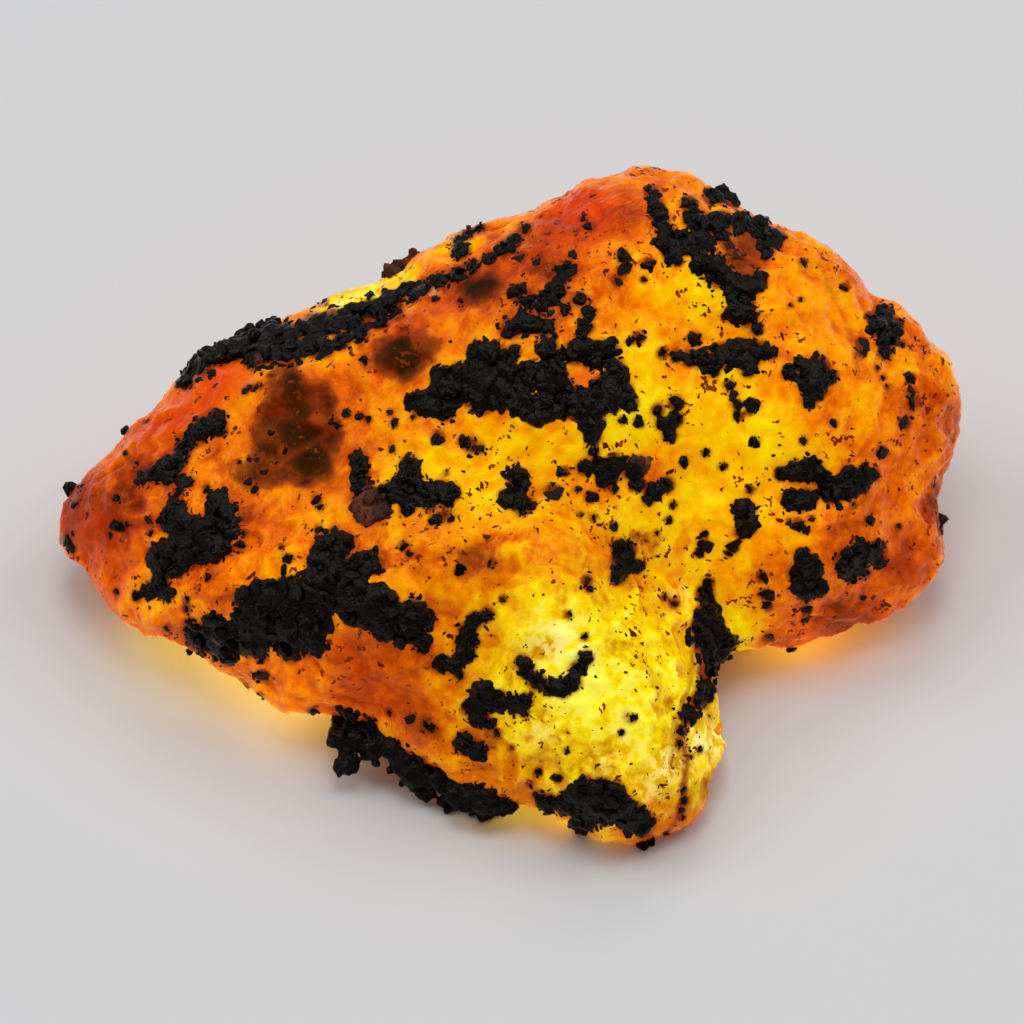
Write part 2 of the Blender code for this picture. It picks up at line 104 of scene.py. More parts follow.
# Any facet's level is the fraction left when its place is spread out by these large numbers.
LEVEL_SPREAD, LEVEL_SCALE = Vector((12.99, 78.23, 37.72)), 43758.5
# How far a normal turns from the face, and from level, while front and underside fade in.
FRONT_FADE, UNDER_FADE = (-0.35, 0.30), (0.28, 0.78)
# How much stronger the fine mottle and how much paler the colours are on the prong.
PRONG_VIVID, PRONG_LEMON = 1.2, 1.3
GLOW_SPOTS = [
    (560, 650, 75, 0.35), (620, 700, 85, 0.36), (560, 760, 40, 0.17), (665, 600, 45, 0.14),
    (706, 742, 22, 0.22), (714, 792, 22, -0.24), (520, 722, 34, 0.26), (500, 640, 34, 0.06),
    (640, 770, 34, 0.14), (520, 590, 34, 0.08), (560, 520, 34, -0.08), (580, 553, 42, -0.24),
    (700, 600, 34, 0.12), (690, 555, 34, 0.06), (672, 812, 36, -0.16), (520, 803, 28, -0.26),
    (400, 440, 50, 0.13), (540, 465, 60, 0.19), (660, 310, 50, 0.05), (715, 425, 50, 0.08),
    (705, 440, 28, 0.1), (640, 400, 30, 0.1), (440, 450, 90, 0.06), (690, 380, 70, 0.06),
    (945, 410, 40, -0.14), (910, 570, 60, -0.27), (850, 625, 40, -0.2), (785, 590, 40, 0.04),
    (745, 492, 44, 0.26), (650, 520, 40, 0.2), (850, 500, 60, -0.1), (812, 652, 36, -0.38),
    (932, 500, 36, -0.28), (780, 290, 70, -0.03), (597, 440, 34, 0.26), (945, 420, 50, -0.1),
    (620, 182, 44, -0.14), (218, 474, 30, -0.24), (385, 335, 40, -0.08), (75, 510, 40, -0.08),
    (90, 525, 50, -0.24), (180, 415, 45, -0.12), (245, 520, 28, -0.24), (190, 560, 60, -0.04),
    (130, 500, 100, -0.12), (270, 565, 50, -0.05), (440, 600, 40, -0.08), (365, 680, 60, -0.26),
    (430, 715, 45, -0.12), (475, 770, 30, -0.1), (330, 655, 40, -0.1), (590, 215, 42, -0.26),
    (550, 245, 40, -0.12), (740, 250, 26, -0.2), (510, 300, 50, -0.1), (520, 262, 30, -0.08),
    (330, 302, 22, 0.4), (365, 294, 20, 0.36), (404, 281, 18, 0.48), (450, 244, 20, 0.14),
    (490, 238, 16, -0.28), (440, 335, 40, -0.08), (470, 290, 35, -0.18), (590, 380, 20, -0.18),
    (370, 507, 26, -0.16), (475, 560, 26, -0.08), (300, 505, 30, 0.1), (310, 485, 30, -0.2),
    (130, 600, 40, 0.04), (868, 285, 24, -0.14), (808, 274, 20, -0.08), (838, 242, 18, -0.1),
    (724, 768, 12, -0.1), (772, 442, 40, 0.26), (655, 440, 38, 0.18), (735, 405, 34, 0.12),
    (698, 300, 36, 0.22), (650, 360, 30, 0.18), (694, 505, 34, 0.12), (550, 280, 34, -0.28),
    (606, 250, 24, 0.12), (652, 245, 26, 0.2), (368, 430, 34, -0.36), (524, 489, 22, -0.18),
    (405, 520, 24, -0.1), (160, 640, 34, -0.24), (250, 678, 28, -0.22), (744, 636, 20, 0.42),
    (684, 680, 28, 0.24), (932, 338, 26, -0.2), (890, 478, 28, 0.14), (610, 282, 22, -0.22),
    (455, 362, 22, 0.2), (90, 480, 26, -0.14), (486, 470, 22, 0.14), (650, 478, 20, -0.26),
    (575, 482, 18, -0.18), (612, 482, 20, -0.16), (535, 562, 24, -0.16), (812, 585, 34, -0.26),
    (568, 682, 16, -0.16), (490, 715, 20, -0.26), (530, 762, 20, -0.14), (729, 721, 14, 0.3),
    (378, 318, 20, -0.14), (812, 374, 30, -0.22), (612, 520, 24, 0.14)]
# Where the stone is as clear as the prong, away from its middle.
CLEAR_SPOTS = [(703, 745, 30, 0.8), (705, 780, 26, 0.6), (728, 715, 16, 0.6)]
# Painted light: the underside is given only a share of the painted glow, but the lower rims more, so
# that it falls on the table as a painted pool of light, yellower, paler or redder: (x, y, reach in
# squares, amount).
UNDER_PAINTED_LIGHT = 0.12
UNDER_PAINTED_YELLOW = 0.26
UNDER_PAINTED_GLOWS = [
    (235, 675, 80, 2.4), (300, 700, 50, 1.5), (150, 625, 50, 1.0), (804, 658, 44, 4.6),
    (860, 640, 50, 2.5), (560, 830, 45, 2.8), (480, 810, 40, 2.8)]
UNDER_PAINTED_PALES = [(235, 675, 80, 0.9), (300, 700, 50, 0.5), (150, 640, 60, 0.7)]
UNDER_PAINTED_REDS = [(800, 660, 60, 0.32), (870, 640, 60, 0.36)]
# Painted highlights, where clear facets flash nearly white: (x, y, reach in squares, amount).
PAINTED_GLINTS = [
    (556, 640, 26, 0.75), (585, 652, 16, 0.45), (540, 728, 14, 0.4), (664, 762, 15, 0.95),
    (650, 785, 12, 0.5), (692, 728, 11, 0.9), (706, 742, 14, 1.2), (722, 738, 9, 1.0),
    (676, 598, 12, 0.4), (625, 742, 14, 0.35), (600, 760, 12, 0.3), (430, 288, 10, 0.4),
    (345, 298, 14, 0.5), (372, 291, 12, 0.4)]
# Where the glow turns red: (x, y, reach in squares, amount).
RED_SPOTS = [
    (165, 425, 34, 0.55), (205, 390, 34, 0.65), (240, 370, 26, 0.5), (590, 212, 34, 0.7),
    (560, 235, 30, 0.5), (500, 268, 22, 0.35), (450, 300, 26, 0.3), (590, 380, 22, 0.6),
    (806, 655, 36, 0.3), (90, 520, 40, 0.25), (935, 400, 34, 0.2), (370, 685, 50, 0.3),
    (740, 255, 22, 0.4), (300, 425, 60, 0.45), (400, 360, 40, 0.45), (100, 560, 50, 0.2),
    (910, 575, 50, 0.2)]
# The dark stain under the crust: its full part as a share of a grain's radius, and how many
# squares its edge takes to fade, for the patches and for the lone grains.
PATCH_STAIN, PATCH_FADE = 0.85, 5.5
GRAIN_STAIN, GRAIN_FADE = 0.62, 4
# Dark creases: (x and y of one end, x and y of the other, half width, darkness), how many squares
# their edges take to fade, and how far they wander, in squares, with the size of the wander.
CREASE_FADE = 3.0
CREASE_WANDER, CREASE_WANDER_SIZE = 3.0, 0.0011
CREASES = [
    (680, 738, 685, 762, 1.6, 0.9), (685, 762, 683, 782, 1.8, 0.8), (683, 782, 679, 812, 3.2, 0.95),
    (679, 812, 668, 832, 1.4, 0.6), (693, 650, 690, 680, 1.2, 0.5), (690, 680, 672, 720, 1.2, 0.55),
    (672, 720, 668, 765, 1.0, 0.45), (820, 265, 848, 330, 1.2, 0.35), (848, 330, 858, 372, 1.2, 0.4),
    (270, 470, 345, 425, 1.5, 0.3)]
# Brown clouds inside the stone: (x, y, half width, half height, darkness).
CLOUDS = [
    (308, 463, 25, 23, 1.0), (280, 477, 28, 12, 0.66), (300, 438, 34, 28, 0.82), (275, 440, 25, 34, 0.74),
    (296, 405, 31, 34, 0.8), (290, 382, 24, 16, 0.72), (322, 408, 22, 26, 0.62), (330, 440, 15, 20, 0.74),
    (262, 474, 23, 15, 0.72), (401, 360, 25, 22, 1.0), (424, 350, 15, 20, 0.6), (385, 345, 18, 12, 0.5),
    (372, 364, 14, 10, 0.42), (480, 287, 27, 17, 0.95), (370, 507, 22, 20, 0.55),
    (475, 558, 24, 18, 0.42), (740, 255, 26, 24, 0.5), (250, 470, 20, 12, 0.35), (560, 232, 40, 20, 0.3),
    (640, 545, 22, 14, 0.3), (440, 510, 20, 12, 0.3), (480, 742, 22, 16, 0.35), (626, 716, 11, 9, 0.3),
    (430, 660, 18, 14, 0.3), (100, 500, 26, 24, 0.25), (905, 575, 36, 26, 0.25), (712, 785, 11, 26, 0.3),
    (75, 520, 22, 30, 0.25), (360, 690, 50, 26, 0.12)]

# How far their edges wander, in squares, with the size of the wander; how much of them is soft
# haze, and how steeply it falls; how uneven they are, and over what size; where their core begins.
CLOUD_RAGGED, CLOUD_RAGS = 9.0, 0.0012
CLOUD_HAZE, HAZE_FALL = 0.30, 0.6
CLOUD_UNEVEN, CLOUD_PATCHES = 0.35, 0.0010
CLOUD_STRENGTH = 1.2
CORE_FADE = (0.62, 0.90)
# Where the fine flecks lie thick: the sizes of two noises, the second one's share, and their range.
FLECKED_SIZES, FLECKED_SHARE, FLECKED_FADE = (0.0042, 0.0018), 0.5, (-0.25, 0.40)
PRONG_FLECKS = 0.4

# ---- the black crust
# Patches: grains as (x, y, radius) in squares, by the node that each patch dresses.
FRONT_CRUSTS = {
    "crust_ridge": [
        (184, 378, 10), (200, 365, 13), (217, 353, 14), (234, 347, 15), (252, 341, 15), (255, 358, 13),
        (272, 333, 14), (274, 353, 14), (292, 336, 14), (294, 352, 12), (314, 325, 13), (316, 345, 13),
        (334, 322, 14), (354, 322, 14), (372, 312, 14), (392, 303, 13), (408, 291, 8), (424, 287, 8),
        (440, 281, 8), (457, 276, 8), (473, 268, 8), (489, 260, 7), (503, 250, 8), (515, 240, 7),
        (525, 229, 6), (186, 384, 6), (326, 350, 8), (342, 341, 9), (361, 334, 8), (381, 322, 8),
        (396, 314, 7), (415, 296, 6), (512, 250, 5)],
    "crust_far_edge": [(461, 251, 9), (459, 241, 6), (468, 233, 6), (480, 227, 5)],
    "crust_centre": [
        (478, 353, 11), (495, 356, 12), (443, 381, 12), (461, 377, 14), (482, 377, 15), (505, 372, 15),
        (530, 378, 13), (552, 376, 15), (420, 405, 12), (436, 403, 12), (452, 396, 12), (472, 396, 13),
        (502, 398, 13), (522, 403, 13), (536, 413, 13), (552, 405, 14), (567, 408, 12), (575, 354, 13),
        (548, 350, 11), (592, 356, 13), (606, 352, 11), (615, 372, 11), (622, 392, 11), (612, 402, 11),
        (590, 405, 14), (592, 422, 13), (592, 438, 8), (446, 413, 9), (484, 405, 10), (514, 353, 7),
        (568, 388, 8), (600, 386, 9), (629, 404, 8), (593, 453, 5)],
    "crust_centre_arm": [
        (565, 273, 10), (557, 289, 10), (547, 302, 10), (579, 301, 7), (530, 304, 9), (517, 294, 9),
        (564, 311, 6)],
    "crust_centre_step": [(511, 330, 11), (529, 323, 12), (545, 329, 10)],
    "crust_centre_post": [(588, 315, 7), (585, 328, 8), (581, 337, 6)],
    "crust_peak": [
        (653, 195, 8), (656, 208, 9), (661, 222, 9), (668, 238, 12), (682, 246, 13), (689, 205, 9),
        (692, 220, 10), (705, 226, 13), (722, 223, 12), (700, 246, 13), (742, 224, 11), (760, 226, 10),
        (774, 238, 11), (766, 251, 8), (702, 266, 11), (718, 277, 12), (737, 287, 13), (752, 283, 13),
        (742, 303, 13), (734, 314, 10), (748, 319, 9), (757, 330, 6), (671, 256, 9), (677, 263, 5),
        (722, 236, 7), (757, 238, 7), (720, 263, 7)],
    "crust_peak_lump": [(712, 196, 9), (724, 195, 9), (734, 200, 7)],
    "crust_collar": [
        (662, 354, 5), (676, 357, 6), (690, 359, 8), (706, 360, 11), (723, 356, 13), (740, 353, 13),
        (757, 352, 10), (770, 354, 7), (747, 369, 9), (713, 370, 7)],
    "crust_shoulder": [
        (788, 373, 7), (802, 370, 11), (818, 369, 12), (828, 377, 8), (816, 391, 10), (808, 401, 7),
        (804, 386, 7)],
    "crust_right_rim": [
        (885, 314, 9), (881, 327, 12), (894, 326, 10), (885, 342, 10), (884, 353, 7), (873, 318, 6)],
    "crust_tuft": [
        (657, 411, 6), (675, 404, 7), (662, 424, 7), (674, 420, 8), (669, 436, 7)],
    "crust_wing": [
        (780, 474, 7), (795, 471, 10), (809, 470, 12), (822, 480, 9), (834, 491, 13), (850, 486, 12),
        (860, 477, 10), (873, 475, 6), (847, 473, 7), (862, 488, 6)],
    "crust_wing_oval": [(790, 500, 10), (806, 499, 10), (798, 507, 6)],
    "crust_wing_low": [
        (802, 556, 8), (807, 567, 12), (806, 581, 13), (817, 588, 9), (805, 594, 7), (793, 573, 6)],
    "crust_wing_twin": [
        (846, 562, 13), (862, 552, 12), (877, 549, 9), (879, 561, 7), (850, 574, 9), (864, 572, 6)],
    "crust_slab": [(743, 511, 11), (746, 525, 10), (740, 532, 6)],
    "crust_belt": [
        (585, 468, 8), (599, 466, 8), (614, 463, 9), (606, 479, 11), (630, 469, 11), (636, 482, 8),
        (652, 492, 9), (665, 485, 8), (648, 499, 6)],
    "crust_twin": [(517, 479, 11), (514, 498, 12), (527, 505, 8), (504, 496, 5), (522, 511, 5)],
    "crust_star": [
        (619, 547, 8), (627, 551, 8), (622, 565, 11), (636, 566, 7), (616, 577, 7), (616, 560, 6)],
    "crust_heart": [
        (388, 494, 11), (402, 486, 11), (410, 466, 10), (414, 498, 11), (428, 494, 11), (442, 491, 11),
        (452, 493, 9), (415, 479, 8), (408, 508, 7), (430, 505, 7), (448, 502, 6)],
    "crust_heart_small": [(360, 461, 9), (361, 474, 9), (362, 485, 9)],
    "crust_brow": [
        (216, 421, 11), (205, 427, 11), (197, 437, 10), (185, 446, 10), (180, 459, 10), (168, 465, 10),
        (155, 474, 9), (142, 479, 7), (167, 478, 8), (181, 480, 7), (221, 430, 7), (190, 482, 5),
        (180, 492, 5)],
    "crust_cheek": [
        (177, 511, 11), (183, 526, 13), (203, 531, 14), (222, 531, 13), (220, 504, 12), (227, 517, 12),
        (176, 552, 15), (194, 550, 14), (212, 548, 13), (160, 557, 13), (167, 570, 10), (162, 586, 10),
        (150, 591, 8), (168, 523, 9), (233, 529, 8), (182, 567, 8), (168, 594, 8), (138, 596, 5),
        (176, 500, 6), (228, 548, 6)],
    "crust_belly": [
        (340, 546, 14), (326, 548, 12), (360, 564, 12), (374, 562, 11), (340, 572, 14), (335, 590, 18),
        (310, 585, 16), (355, 592, 16), (375, 597, 14), (390, 610, 16), (366, 611, 14), (414, 612, 14),
        (404, 628, 13), (386, 627, 12), (419, 638, 9), (288, 592, 17), (292, 610, 15), (262, 598, 15),
        (247, 597, 11), (265, 620, 15), (246, 624, 14), (308, 630, 20), (282, 634, 14), (292, 652, 10),
        (233, 638, 15), (214, 626, 13), (214, 642, 13), (197, 640, 11), (255, 645, 13), (228, 656, 10),
        (320, 618, 13), (316, 645, 11), (192, 626, 8), (428, 620, 9), (424, 644, 8), (316, 560, 7),
        (262, 655, 6), (352, 615, 9)],
    "crust_keel": [
        (345, 720, 13), (342, 738, 14), (360, 744, 15), (348, 762, 11), (377, 746, 13), (392, 748, 11),
        (368, 724, 9), (404, 761, 13), (416, 774, 15), (426, 786, 11), (438, 782, 11), (452, 795, 12),
        (467, 798, 13), (485, 801, 13), (502, 803, 10), (420, 763, 8), (432, 771, 8), (468, 790, 8),
        (510, 806, 7)],
    "crust_cup": [
        (523, 660, 7), (527, 670, 8), (537, 680, 9), (549, 685, 9), (562, 687, 9), (572, 681, 8),
        (577, 668, 8), (585, 656, 7)],
    "crust_fold": [
        (482, 692, 11), (498, 699, 11), (514, 702, 9), (526, 698, 7), (479, 711, 12), (469, 706, 7),
        (524, 710, 5), (490, 723, 5)],
    "crust_fold_low": [(465, 742, 10), (479, 749, 9)],
    "crust_knot": [
        (487, 614, 7), (475, 619, 8), (468, 630, 9), (465, 641, 9), (467, 653, 8), (455, 663, 8),
        (442, 662, 8), (475, 641, 5), (460, 673, 5)],
    "crust_seam": [
        (704, 594, 9), (708, 583, 5), (707, 612, 12), (701, 626, 12), (714, 631, 12), (705, 642, 14),
        (722, 645, 12), (731, 642, 6), (709, 657, 12), (722, 657, 7), (706, 671, 10), (705, 685, 9),
        (699, 699, 10), (707, 696, 6), (688, 713, 10), (680, 728, 6), (678, 742, 4)],
    "crust_toe": [
        (548, 801, 10), (566, 801, 13), (581, 792, 13), (597, 789, 13), (611, 796, 12), (590, 807, 16),
        (583, 821, 12), (603, 812, 11), (622, 804, 12), (635, 811, 11), (646, 819, 8), (628, 820, 10),
        (584, 781, 8), (600, 782, 8), (616, 788, 8), (538, 794, 6), (642, 828, 7)]}

# The same for the back of the stone.
BACK_CRUSTS = {
    "crust_back_crown": [
        (566, 226, 14), (586, 218, 15), (606, 222, 14), (626, 212, 13), (594, 236, 12), (644, 222, 12),
        (614, 242, 11)],
    "crust_back_nape": [
        (452, 280, 13), (470, 270, 14), (488, 272, 13), (462, 294, 12), (504, 284, 11), (440, 298, 10)],
    "crust_back_shoulder": [
        (752, 262, 14), (772, 272, 16), (788, 292, 14), (764, 288, 13), (804, 300, 11), (798, 316, 11),
        (740, 274, 10)],
    "crust_back_rim": [
        (896, 372, 12), (902, 392, 13), (892, 410, 12), (904, 426, 10), (882, 394, 10)],
    "crust_back_flank": [
        (286, 362, 14), (306, 352, 15), (328, 344, 16), (350, 334, 15), (370, 322, 14), (338, 360, 12),
        (388, 314, 11)],
    "crust_back_nose": [(190, 424, 13), (208, 414, 14), (226, 414, 12), (214, 432, 11)],
    "crust_back_spot": [(690, 300, 12), (704, 310, 13), (694, 324, 11)]}

# Black grains that stand alone: (x, y, radius).
LONE_GRAINS = [
    (439, 437, 9), (463, 441, 7), (471, 446, 11), (480, 449, 7), (552, 491, 10), (577, 490, 4),
    (590, 498, 7), (318, 500, 7), (322, 507, 4), (622, 257, 9), (623, 269, 8), (648, 264, 8),
    (643, 281, 4), (616, 283, 6), (638, 339, 9), (630, 342, 5), (693, 339, 9), (584, 219, 4),
    (590, 228, 7), (537, 262, 6), (520, 257, 7), (573, 256, 5), (803, 262, 5), (845, 287, 6),
    (902, 343, 5), (910, 378, 7), (911, 391, 6), (914, 402, 8), (904, 423, 9), (881, 452, 8),
    (832, 424, 5), (802, 441, 5), (868, 520, 6), (898, 527, 4), (753, 442, 6), (705, 453, 5),
    (722, 467, 5), (683, 462, 6), (749, 490, 6), (672, 505, 5), (668, 520, 5), (613, 526, 5),
    (656, 533, 3), (563, 472, 7), (586, 580, 8), (589, 588, 5), (765, 595, 9), (767, 606, 6),
    (760, 577, 7), (767, 637, 7), (806, 610, 6), (804, 619, 5), (862, 598, 4), (792, 650, 5),
    (405, 546, 7), (411, 554, 4), (460, 570, 7), (492, 562, 6), (503, 598, 5), (673, 603, 7),
    (664, 597, 5), (568, 614, 5), (584, 635, 4), (632, 716, 5), (620, 730, 4), (566, 748, 4),
    (537, 770, 5), (557, 776, 6), (390, 711, 4), (411, 717, 6), (427, 724, 7), (434, 728, 5),
    (264, 675, 9), (261, 695, 5), (314, 710, 6), (290, 558, 6), (283, 547, 4), (208, 488, 5),
    (246, 533, 5), (242, 546, 6), (120, 527, 8), (128, 524, 4), (150, 522, 6), (152, 533, 4),
    (118, 499, 5), (110, 535, 4), (117, 592, 4), (337, 425, 8), (347, 414, 5), (361, 417, 5),
    (369, 420, 4), (395, 424, 6), (391, 413, 4), (393, 450, 4), (361, 344, 4), (365, 361, 5),
    (461, 302, 4), (436, 300, 4), (593, 517, 5), (580, 514, 4), (703, 545, 9), (698, 553, 6),
    (704, 534, 4), (733, 547, 8), (727, 553, 5), (797, 523, 8), (787, 522, 4), (804, 530, 5),
    (810, 518, 4), (861, 344, 9), (860, 354, 7), (868, 316, 5), (728, 386, 7), (732, 396, 6),
    (736, 405, 7), (738, 416, 7), (751, 405, 8), (749, 412, 5), (450, 517, 6), (440, 518, 7),
    (433, 522, 4), (358, 461, 4), (447, 473, 3), (248, 484, 6), (265, 473, 5), (276, 465, 4),
    (188, 608, 7), (188, 599, 4), (497, 731, 5), (512, 745, 3), (682, 788, 5), (683, 798, 5),
    (680, 808, 4), (642, 843, 6), (652, 841, 5), (666, 832, 4), (942, 519, 8), (943, 528, 6),
    (70, 489, 7), (80, 487, 5), (75, 503, 6), (66, 539, 9), (71, 548, 7), (323, 301, 6), (124, 430, 5),
    (125, 453, 3), (137, 463, 3), (246, 391, 4), (256, 388, 4), (877, 368, 3), (882, 378, 3),
    (886, 387, 3), (935, 486, 3), (613, 490, 5), (633, 487, 7), (637, 422, 6), (622, 421, 5),
    (335, 530, 5), (210, 577, 5), (320, 530, 6), (800, 300, 3), (790, 306, 3), (240, 462, 3),
    (250, 460, 3), (258, 459, 4), (284, 451, 5), (272, 433, 4), (256, 489, 5), (853, 505, 4),
    (530, 783, 4), (539, 770, 4), (698, 748, 4), (689, 755, 3), (681, 815, 4), (168, 628, 4),
    (250, 388, 4), (262, 386, 3), (413, 418, 3), (640, 425, 4)]
# Rust-brown grains: (x, y, radius).
RUSTY_GRAINS = [
    (370, 505, 14), (381, 499, 10), (367, 517, 9), (384, 513, 8), (639, 464, 10), (390, 268, 8),
    (397, 262, 7), (412, 250, 5), (404, 256, 5), (258, 358, 9), (737, 256, 6), (728, 246, 5)]

# How a patch is built up from grains: each drawn grain is a wide base, lumps on it and small
# grains round it. Sizes and distances are shares of the drawn radius.
GRAIN_SHAPES = 20
CORNERS = (26, 13, 9)       # of a patch's grain, of a block and of a crumb
GRAIN_UNEVEN, GRAIN_TALL, GRAIN_WIDE = (0.85, 1.1), (0.85, 1.15), (0.85, 1.1)
BASE_SIZE, BASE_HEIGHT, BASE_SINK = 1.34, 0.34, 0.10
# The lumps: how many, how far out, how large, how tall and how deep.
LUMPS = (4, (0.1, 0.85), (0.36, 0.72), 0.95, 0.0)
# The small grains: how many for each square of the radius, how far out, and the rest as above.
SMALL_GRAINS, SMALL_PLACES = 0.7, (0.75, 1.22)
SMALL_SHAPE = ((0.24, 0.5), 0.7, 0.25)
# The grains of a patch are fused into one rough mass.
CRUST_VOXEL = 0.00012
ROUGH_SIZE, ROUGH_HEIGHT = 0.00036, 0.00010
PATCHY_SIZE = 0.0009
# A lone grain is one block, with a few small grains against it.
LONE_SIZE, LONE_HEIGHT, LONE_SINK = 1.25, 0.55, 0.15
LONE_SMALL_GRAINS, LONE_PLACES = 0.35, (0.75, 1.15)
# Loose grains round every grain of a patch, and angular blocks on it, given as the lumps are.
EDGE_GRAINS, EDGE_PLACES = 0.65, (0.55, 1.38)
BLOCKS = (2, (0.0, 0.85), (0.38, 0.72), 0.8, -0.45)
# A grain beside the rim is pulled in until its middle is this share of its radius from the skin;
# one further out than its reach hangs on its patch, or is left out.
HANGING_GAP, HANGING_REACH = 0.45, 1.6
# It is looked for in steps along its line of sight, over a share of the stone's length.
HANGING_STEPS, HANGING_SEARCH = 60, 0.6
# Parts of a mass further than this from the skin are floating.
FLOATING_GAP = 0.00012
# Strewn grains: how many in front and behind, their sizes in squares, their lengths and height as
# shares of their size, and how many of the front ones lie near the places that they belong to.
CRUMBS = {"counts": (330, 220), "sizes": (1.0, 2.4), "lengths": (1.0, 1.6), "height": 0.8, "near": 0.6}
FLECKS = {"counts": (640, 320), "sizes": (1.1, 3.6), "lengths": (1.0, 2.2), "height": 0.3, "near": 0.5}
# Where they are strewn, how far from a patch's grain, as a share of its radius, and how low.
STREWN_ACROSS, STREWN_DOWN = (60, 960), (165, 845)
NEAR_CRUST = 1.6
LOWEST_STREWN, LOWEST_GRAIN = 0.001, 0.00005
# Each crumb or fleck is up to this many grains, one against another and each smaller than the last.
CLUMP, CLUMP_STEP, CLUMP_SHRINK = 3, 1.4, (0.6, 0.9)


def on_paper(x, y, depth=0.0):
    """The world place of a square of the paper."""
    right = (x - PAPER_CENTRE[0]) * SQUARE
    up = (PAPER_CENTRE[1] - y) * SQUARE
    return PAPER_MIDDLE + Vector((right, 0.0, 0.0)) + UPWARD * up + FACING * depth


def off_paper(places):
    """x, y in squares and the depth in metres of an array of world places."""
    from_middle = places - np.array(PAPER_MIDDLE)
    x = PAPER_CENTRE[0] + from_middle[:, 0] / SQUARE
    y = PAPER_CENTRE[1] - from_middle @ np.array(UPWARD) / SQUARE
    return x, y, from_middle @ np.array(FACING)


def smoothstep(low, high, value):
    share = np.clip((value - low) / (high - low), 0.0, 1.0)
    return share * share * (3.0 - 2.0 * share)


def shape_of(mesh):
    """The places and the normals of a mesh's vertices, as rows of two arrays."""
    places, normals = np.empty((2, len(mesh.vertices) * 3))
    mesh.vertices.foreach_get("co", places)
    mesh.vertex_normals.foreach_get("vector", normals)
    return places.reshape(-1, 3), normals.reshape(-1, 3)


def reshape(mesh, places, lowest, material):
    """Move a mesh's vertices, none of them lower than allowed, and give it its one material."""
    places[:, 2] = np.maximum(places[:, 2], lowest)
    mesh.vertices.foreach_set("co", places.ravel())
    mesh.update()
    mesh.shade_smooth()
    mesh.materials.clear()
    mesh.materials.append(material)


def new_object(name, mesh):
    thing = bpy.data.objects.new(name, mesh)
    bpy.context.scene.collection.objects.link(thing)
    return thing


def applied(thing):
    """Turn what the modifiers make of an object into its own mesh."""
    graph = bpy.context.evaluated_depsgraph_get()
    made = bpy.data.meshes.new_from_object(thing.evaluated_get(graph))
    old = thing.data
    thing.modifiers.clear()
    thing.data = made
    bpy.data.meshes.remove(old)


# ---- the stone
def ridged(place, size):
    """1 along thin ridges, falling to -1 in the hollows between them."""
    return 1.0 - RIDGE_STEEPNESS * abs(noise.noise(place / size))


def crumple(place):
    """Broad waves, and the two sizes of ridge that run over them, each about -1 to 1."""
    bent = place + noise.noise_vector(place / RIDGE_SIZE) * RIDGE_SIZE * RIDGE_BEND
    wave = noise.noise(place / WAVE_SIZE)
    ridge = ridged(bent, RIDGE_SIZE)
    crease = ridged(bent + CREASE_SHIFT, CREASE_SIZE)
    return wave, ridge, crease


def prong_share(x, y):
    from_prong = (x - PRONG_MIDDLE[0]) ** 2 + (y - PRONG_MIDDLE[1]) ** 2
    return np.exp(-from_prong / PRONG_REACH ** 2)


def spotted(x, y, spots):
    """The sum of soft round spots: (x, y, reach, amount)."""
    total = np.zeros(len(x))
    for spot_x, spot_y, reach, amount in spots:
        total += amount * np.exp(-((x - spot_x) ** 2 + (y - spot_y) ** 2) / reach ** 2)
    return total


def clouded(x, y):
    dark = np.zeros(len(x))
    for cloud_x, cloud_y, half_width, half_height, depth in CLOUDS:
        spread = ((x - cloud_x) / half_width) ** 2 + ((y - cloud_y) / half_height) ** 2
        falling = (1.0 - CLOUD_HAZE) * np.exp(-spread ** 2) + CLOUD_HAZE * np.exp(-HAZE_FALL * spread)
        dark = np.maximum(dark, depth * falling)
    return dark


def stained(x, y):
    """1 under the crust, falling to 0 a few squares outside it."""
    dark = np.zeros(len(x))
    patches = [lobe for patch in FRONT_CRUSTS.values() for lobe in patch]
    lone = LONE_GRAINS + RUSTY_GRAINS
    for lobes, full, fade in ((patches, PATCH_STAIN, PATCH_FADE), (lone, GRAIN_STAIN, GRAIN_FADE)):
        for stain_x, stain_y, radius in lobes:
            away = np.hypot(x - stain_x, y - stain_y)
            dark = np.maximum(dark, 1.0 - smoothstep(radius * full, radius * full + fade, away))
    return dark


def creased(x, y):
    """1 along the dark creases, whose edges fade over a square."""
    dark = np.zeros(len(x))
    for start_x, start_y, end_x, end_y, half_width, depth in CREASES:
        along_x, along_y = end_x - start_x, end_y - start_y
        share = ((x - start_x) * along_x + (y - start_y) * along_y) / (along_x ** 2 + along_y ** 2)
        share = np.clip(share, 0.0, 1.0)
        away = np.hypot(x - start_x - share * along_x, y - start_y - share * along_y)
        dark = np.maximum(dark, depth * (1.0 - smoothstep(half_width, half_width + CREASE_FADE, away)))
    return dark


def noise_field(places, size, field):
    """-1 to 1 at each place, changing over about the given size."""
    offset = FIELDS[field]
    shift = Vector((offset, offset * 0.7, offset * 1.3))
    return np.array([noise.noise(Vector(place) / size + shift) for place in places])


def facet_field(places):
    """0 to 1, one level for each of the uneven cells that the skin is divided into."""
    levels = []
    for place in places:
        bent = Vector(place) + noise.noise_vector(Vector(place) / FACET_SIZE * 2.0) * FACET_BEND
        nearest = noise.voronoi(bent / FACET_SIZE)[1][0]
        levels.append(math.sin(nearest.dot(LEVEL_SPREAD)) * LEVEL_SCALE % 1.0)
    return np.array(levels)


def store(mesh, name, values):
    layer = mesh.attributes.new(name, "FLOAT", "POINT")
    layer.data.foreach_set("value", values.astype(np.float32))


